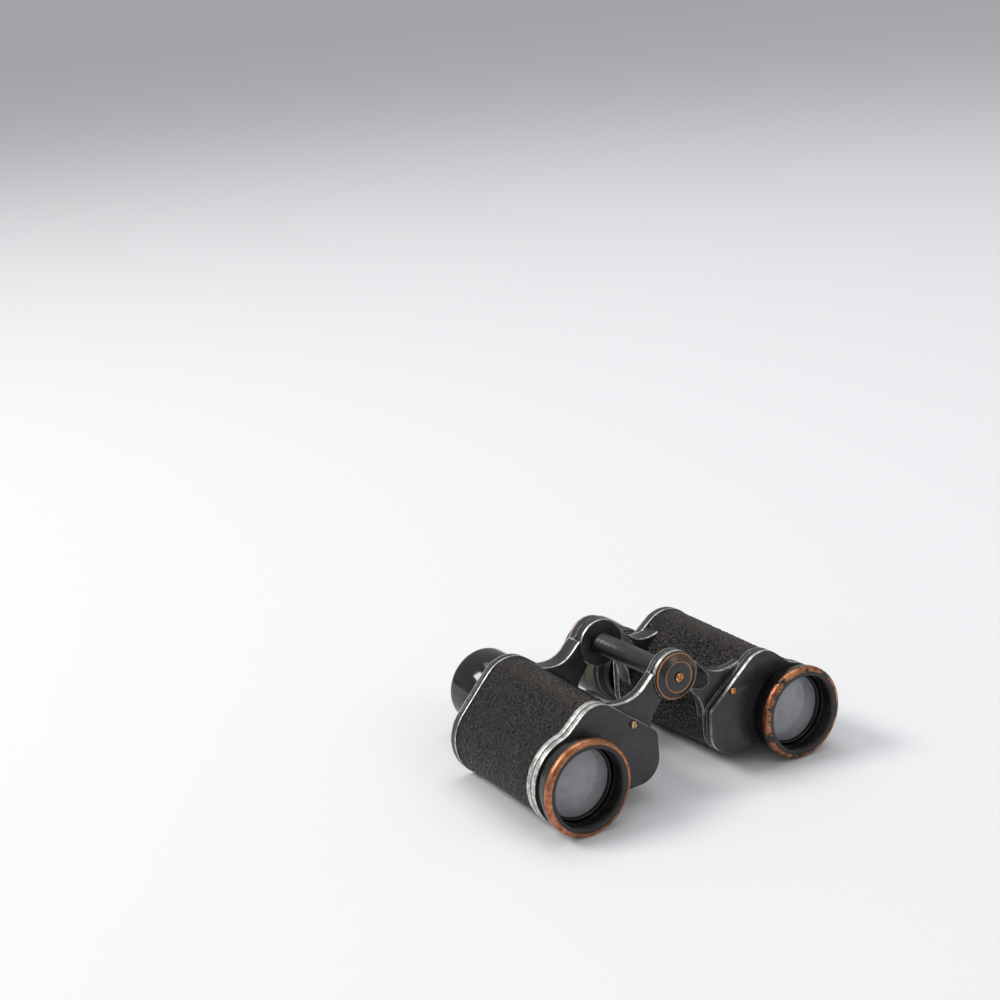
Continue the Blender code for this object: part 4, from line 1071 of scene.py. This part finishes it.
def eyeCup():
    cup, mouth = eyepiece["cup"], eyepiece["mouth"]
    front, rear = eyepiece["rear"] + 0.3, eyepiece["cupRear"]
    flange, lens = eyepiece["thread"] + 0.3, eyepiece["tube"] - 1.7
    inside = eyepiece["rear"] + 2.5
    profile = [(mouth + 0.85, rear), (cup - 0.6, rear - 0.12), (cup - 0.2, rear - 0.5),
               (cup, rear - 1.2), (cup, rear - 2.6), (cup - 0.12, front + 11.6),
               (cup - 0.35, front + 8.4), (cup - 0.75, front + 5.2), (cup - 1.3, front + 2.6),
               (cup - 1.85, front + 0.9), (cup - 2.2, front), (flange, front), (flange, inside),
               (lens, inside), (lens, inside + 1.5), (lens + 0.6, inside + 2.1),
               (mouth - 2.6, inside + 4.9), (mouth - 1.3, inside + 8.0),
               (mouth - 0.5, inside + 10.9), (mouth, rear - 0.9), (mouth + 0.3, rear - 0.25)]
    return turnPiece(profile, ocular.x, ocular.z, 128, edge=0.1)


eyepieceSet = (("eyepiece_neck", "rear_neck", eyepieceNeck(), neckLacquer, "barrel",
                "lacquered_brass"),
               ("eyepiece_tube", "sliding_tube", slidingTube(), blackRing, "eyepiece_carriage",
                "blackened_brass"),
               ("eye_lens", "rear_lens", eyeLens(), eyeGlass, "eyepiece_carriage", "lens_glass"),
               ("focus_ring", "knurled_ring", focusRing(), knurled, "focus_grip",
                "blackened_brass"),
               ("eyecup", "eye_cup", eyeCup(), bakelite, "focus_grip", "bakelite"))
for node, label, piece, material, rider, slotName in eyepieceSet:
    shade(piece, 32)
    twin = mirrored(piece, "left_eyepiece")
    for side, copy in (("right", piece), ("left", twin)):
        finishPiece(copy, f"{side}_{label}", material, f"{side}_{rider}", slotName,
                    f"{side}_{node}")
print("eyepieces ready")

# hinge
hinge = {"tube": 4.8, "bore": 3.5, "cap": 9.7, "top": 6.4, "frontHeight": 2.4,
         "rearHeight": 2.2, "clear": 0.3, "plug": 1.1, "screw": 1.9, "screwBore": 1.3,
         "screwRise": 0.85, "shank": 1.0, "screwLength": 4.6, "screwTurn": 0.35}
frontArm, rearArm = arms["front"], arms["rear"]


def hingeTube():
    r, bore = hinge["tube"], hinge["bore"]
    y0, y1 = frontArm[1] + hinge["clear"], rearArm[0] - hinge["clear"]
    profile = [(r, y0), (r, y0 + 1.8), (r - 0.35, y0 + 2.3), (r - 0.35, y1 - 2.3), (r, y1 - 1.8),
               (r, y1), (bore, y1), (bore, y0)]
    return turnPiece(profile, 0, 0, 64, edge=0.12)


# A coned cap; out is -1 for the front one.
def hingeCap(back, out, height, pinEnd):
    cap, top, bore = hinge["cap"], hinge["top"], hinge["screwBore"]
    face = back + out * height
    profile = [(bore, face), (top - 0.45, face), (top - 0.3, face + out * -0.18),
               (top, face + out * -0.18), (top + 0.12, face), (top + 0.35, face + out * -0.1),
               (cap - 0.75, back + out * 0.85), (cap - 0.35, back + out * 0.72),
               (cap - 0.1, back + out * 0.68), (cap, back + out * 0.5), (cap, back),
               (hinge["bore"], back), (hinge["bore"], pinEnd), (bore, pinEnd)]
    return turnPiece(profile, 0, 0, 96, edge=0.05)


tube = hingeTube()
shade(tube)
finishPiece(tube, "hinge_barrel_tube", tubeEnamel, "left_barrel", "black_enamel", "hinge_tube")
for tag, armFace, out in (("front", frontArm[0], -1), ("rear", rearArm[1], 1)):
    back, height = armFace + out * hinge["clear"], hinge[f"{tag}Height"]
    cap = hingeCap(back, out, height, armFace + out * hinge["plug"])
    shade(cap, 25)
    finishPiece(cap, f"{tag}_hinge_cover", capBlack, "left_barrel", "lacquered_brass",
                f"{tag}_hinge_cap")
    face = back + out * height
    screw = slottedScrew(0, 0, face, out, hinge["screw"], hinge["screwRise"], hinge["shank"],
                         hinge["screwLength"], hinge["screwTurn"])
    finishPiece(screw, f"{tag}_centre_screw", copperScrew, "left_barrel", "brass",
                f"{tag}_hinge_screw")
print("hinge ready")

# nodes that stay as they are, inside
for side in ("left", "right"):
    for node, material in (("front_prism", prismGlass), ("rear_prism", prismGlass),
                           ("field_lens", eyeGlass), ("prism_shelf", plainEnamel),
                           ("front_prism_clip", springSteel), ("rear_prism_clip", springSteel)):
        kept = frame["nodes"][f"{side}_{node}"]
        kept.data.materials.clear()
        kept.data.materials.append(material)
pin = frame["nodes"]["axle_pin"]
pin.data.materials.clear()
pin.data.materials.append(springSteel)

# floor, lights, camera
studio = {"floor": 9.0, "sweep": 1.0, "paper": "#ecedee"}


# A sheet of white paper that lies flat and curves up behind.
def paperSweep():
    clearSelection()
    half, bend = studio["floor"], studio["sweep"]
    bpy.ops.mesh.primitive_plane_add(size=2 * half, location=(0, 0, 0), enter_editmode=True)
    floor = bpy.context.object
    bpy.ops.mesh.select_mode(type="EDGE")
    mesh = bmesh.from_edit_mesh(floor.data)
    for edge in mesh.edges:
        edge.select_set(all(v.co.y > half - 0.01 for v in edge.verts))
    mesh.select_flush(False)
    bmesh.update_edit_mesh(floor.data)
    steps = 16
    for k in range(steps):
        a, b = (math.pi / 2 * j / steps for j in (k, k + 1))
        move = (0, bend * (math.sin(b) - math.sin(a)), bend * (math.cos(a) - math.cos(b)))
        bpy.ops.mesh.extrude_region_move(TRANSFORM_OT_translate={"value": move})
    bpy.ops.mesh.extrude_region_move(TRANSFORM_OT_translate={"value": (0, 0, bend)})
    bpy.ops.object.mode_set(mode="OBJECT")
    floor.name = "paper_sweep"
    shade(floor, 60)
    return floor


floor = paperSweep()
paper, add, place = newMaterial("matt background paper")
shader = add("BsdfPrincipled", {"Base Color": studio["paper"], "Roughness": 0.9,
                                "Specular IOR Level": 0.2})
add("OutputMaterial", {"Surface": shader})
floor.data.materials.append(paper)


def softbox(name, place, aim, size, power, colour):
    light = bpy.data.lights.new(name, "AREA")
    light.shape = "RECTANGLE"
    light.size, light.size_y = size
    light.energy = power
    light.color = hexColour(colour)[:3]
    lamp = bpy.data.objects.new(name, light)
    bpy.context.scene.collection.objects.link(lamp)
    lamp.location = place
    lamp.rotation_euler = (Vector(aim) - Vector(place)).to_track_quat("-Z", "Y").to_euler()


# place, aim, size, watts and colour
lamps = {"key": ((-1.6, 0.9, 1.9), (0, 0, 0.03), (1.1, 0.8), 36, "#fffdfa"),
         "top": ((0.4, 0.6, 2.6), (0, 0, 0), (2.2, 1.8), 22, "#fbfcff"),
         "front": ((0.9, -2.2, 1.7), (0, 0, 0.02), (1.4, 0.9), 8, "#fafcff")}
for name, settings in lamps.items():
    softbox(name, *settings)

world = bpy.data.worlds.new("studio room")
world.use_nodes = True
room = world.node_tree.nodes["Background"]
room.inputs["Color"].default_value = hexColour("#f2f3f6")
room.inputs["Strength"].default_value = 0.5
bpy.context.scene.world = world

view = {"place": (-0.3822, -0.5613, 0.3226), "turn": (72.84, 3.93, -31.885), "lens": 62.27}
lens = bpy.data.cameras.new("camera")
lens.lens = view["lens"]
lens.sensor_width = 36.0
lens.clip_start = 0.01
camera = bpy.data.objects.new("camera", lens)
bpy.context.scene.collection.objects.link(camera)
camera.location = view["place"]
camera.rotation_euler = [math.radians(a) for a in view["turn"]]
bpy.context.scene.camera = camera
bpy.context.scene.view_settings.view_transform = "Standard"
print("studio ready")
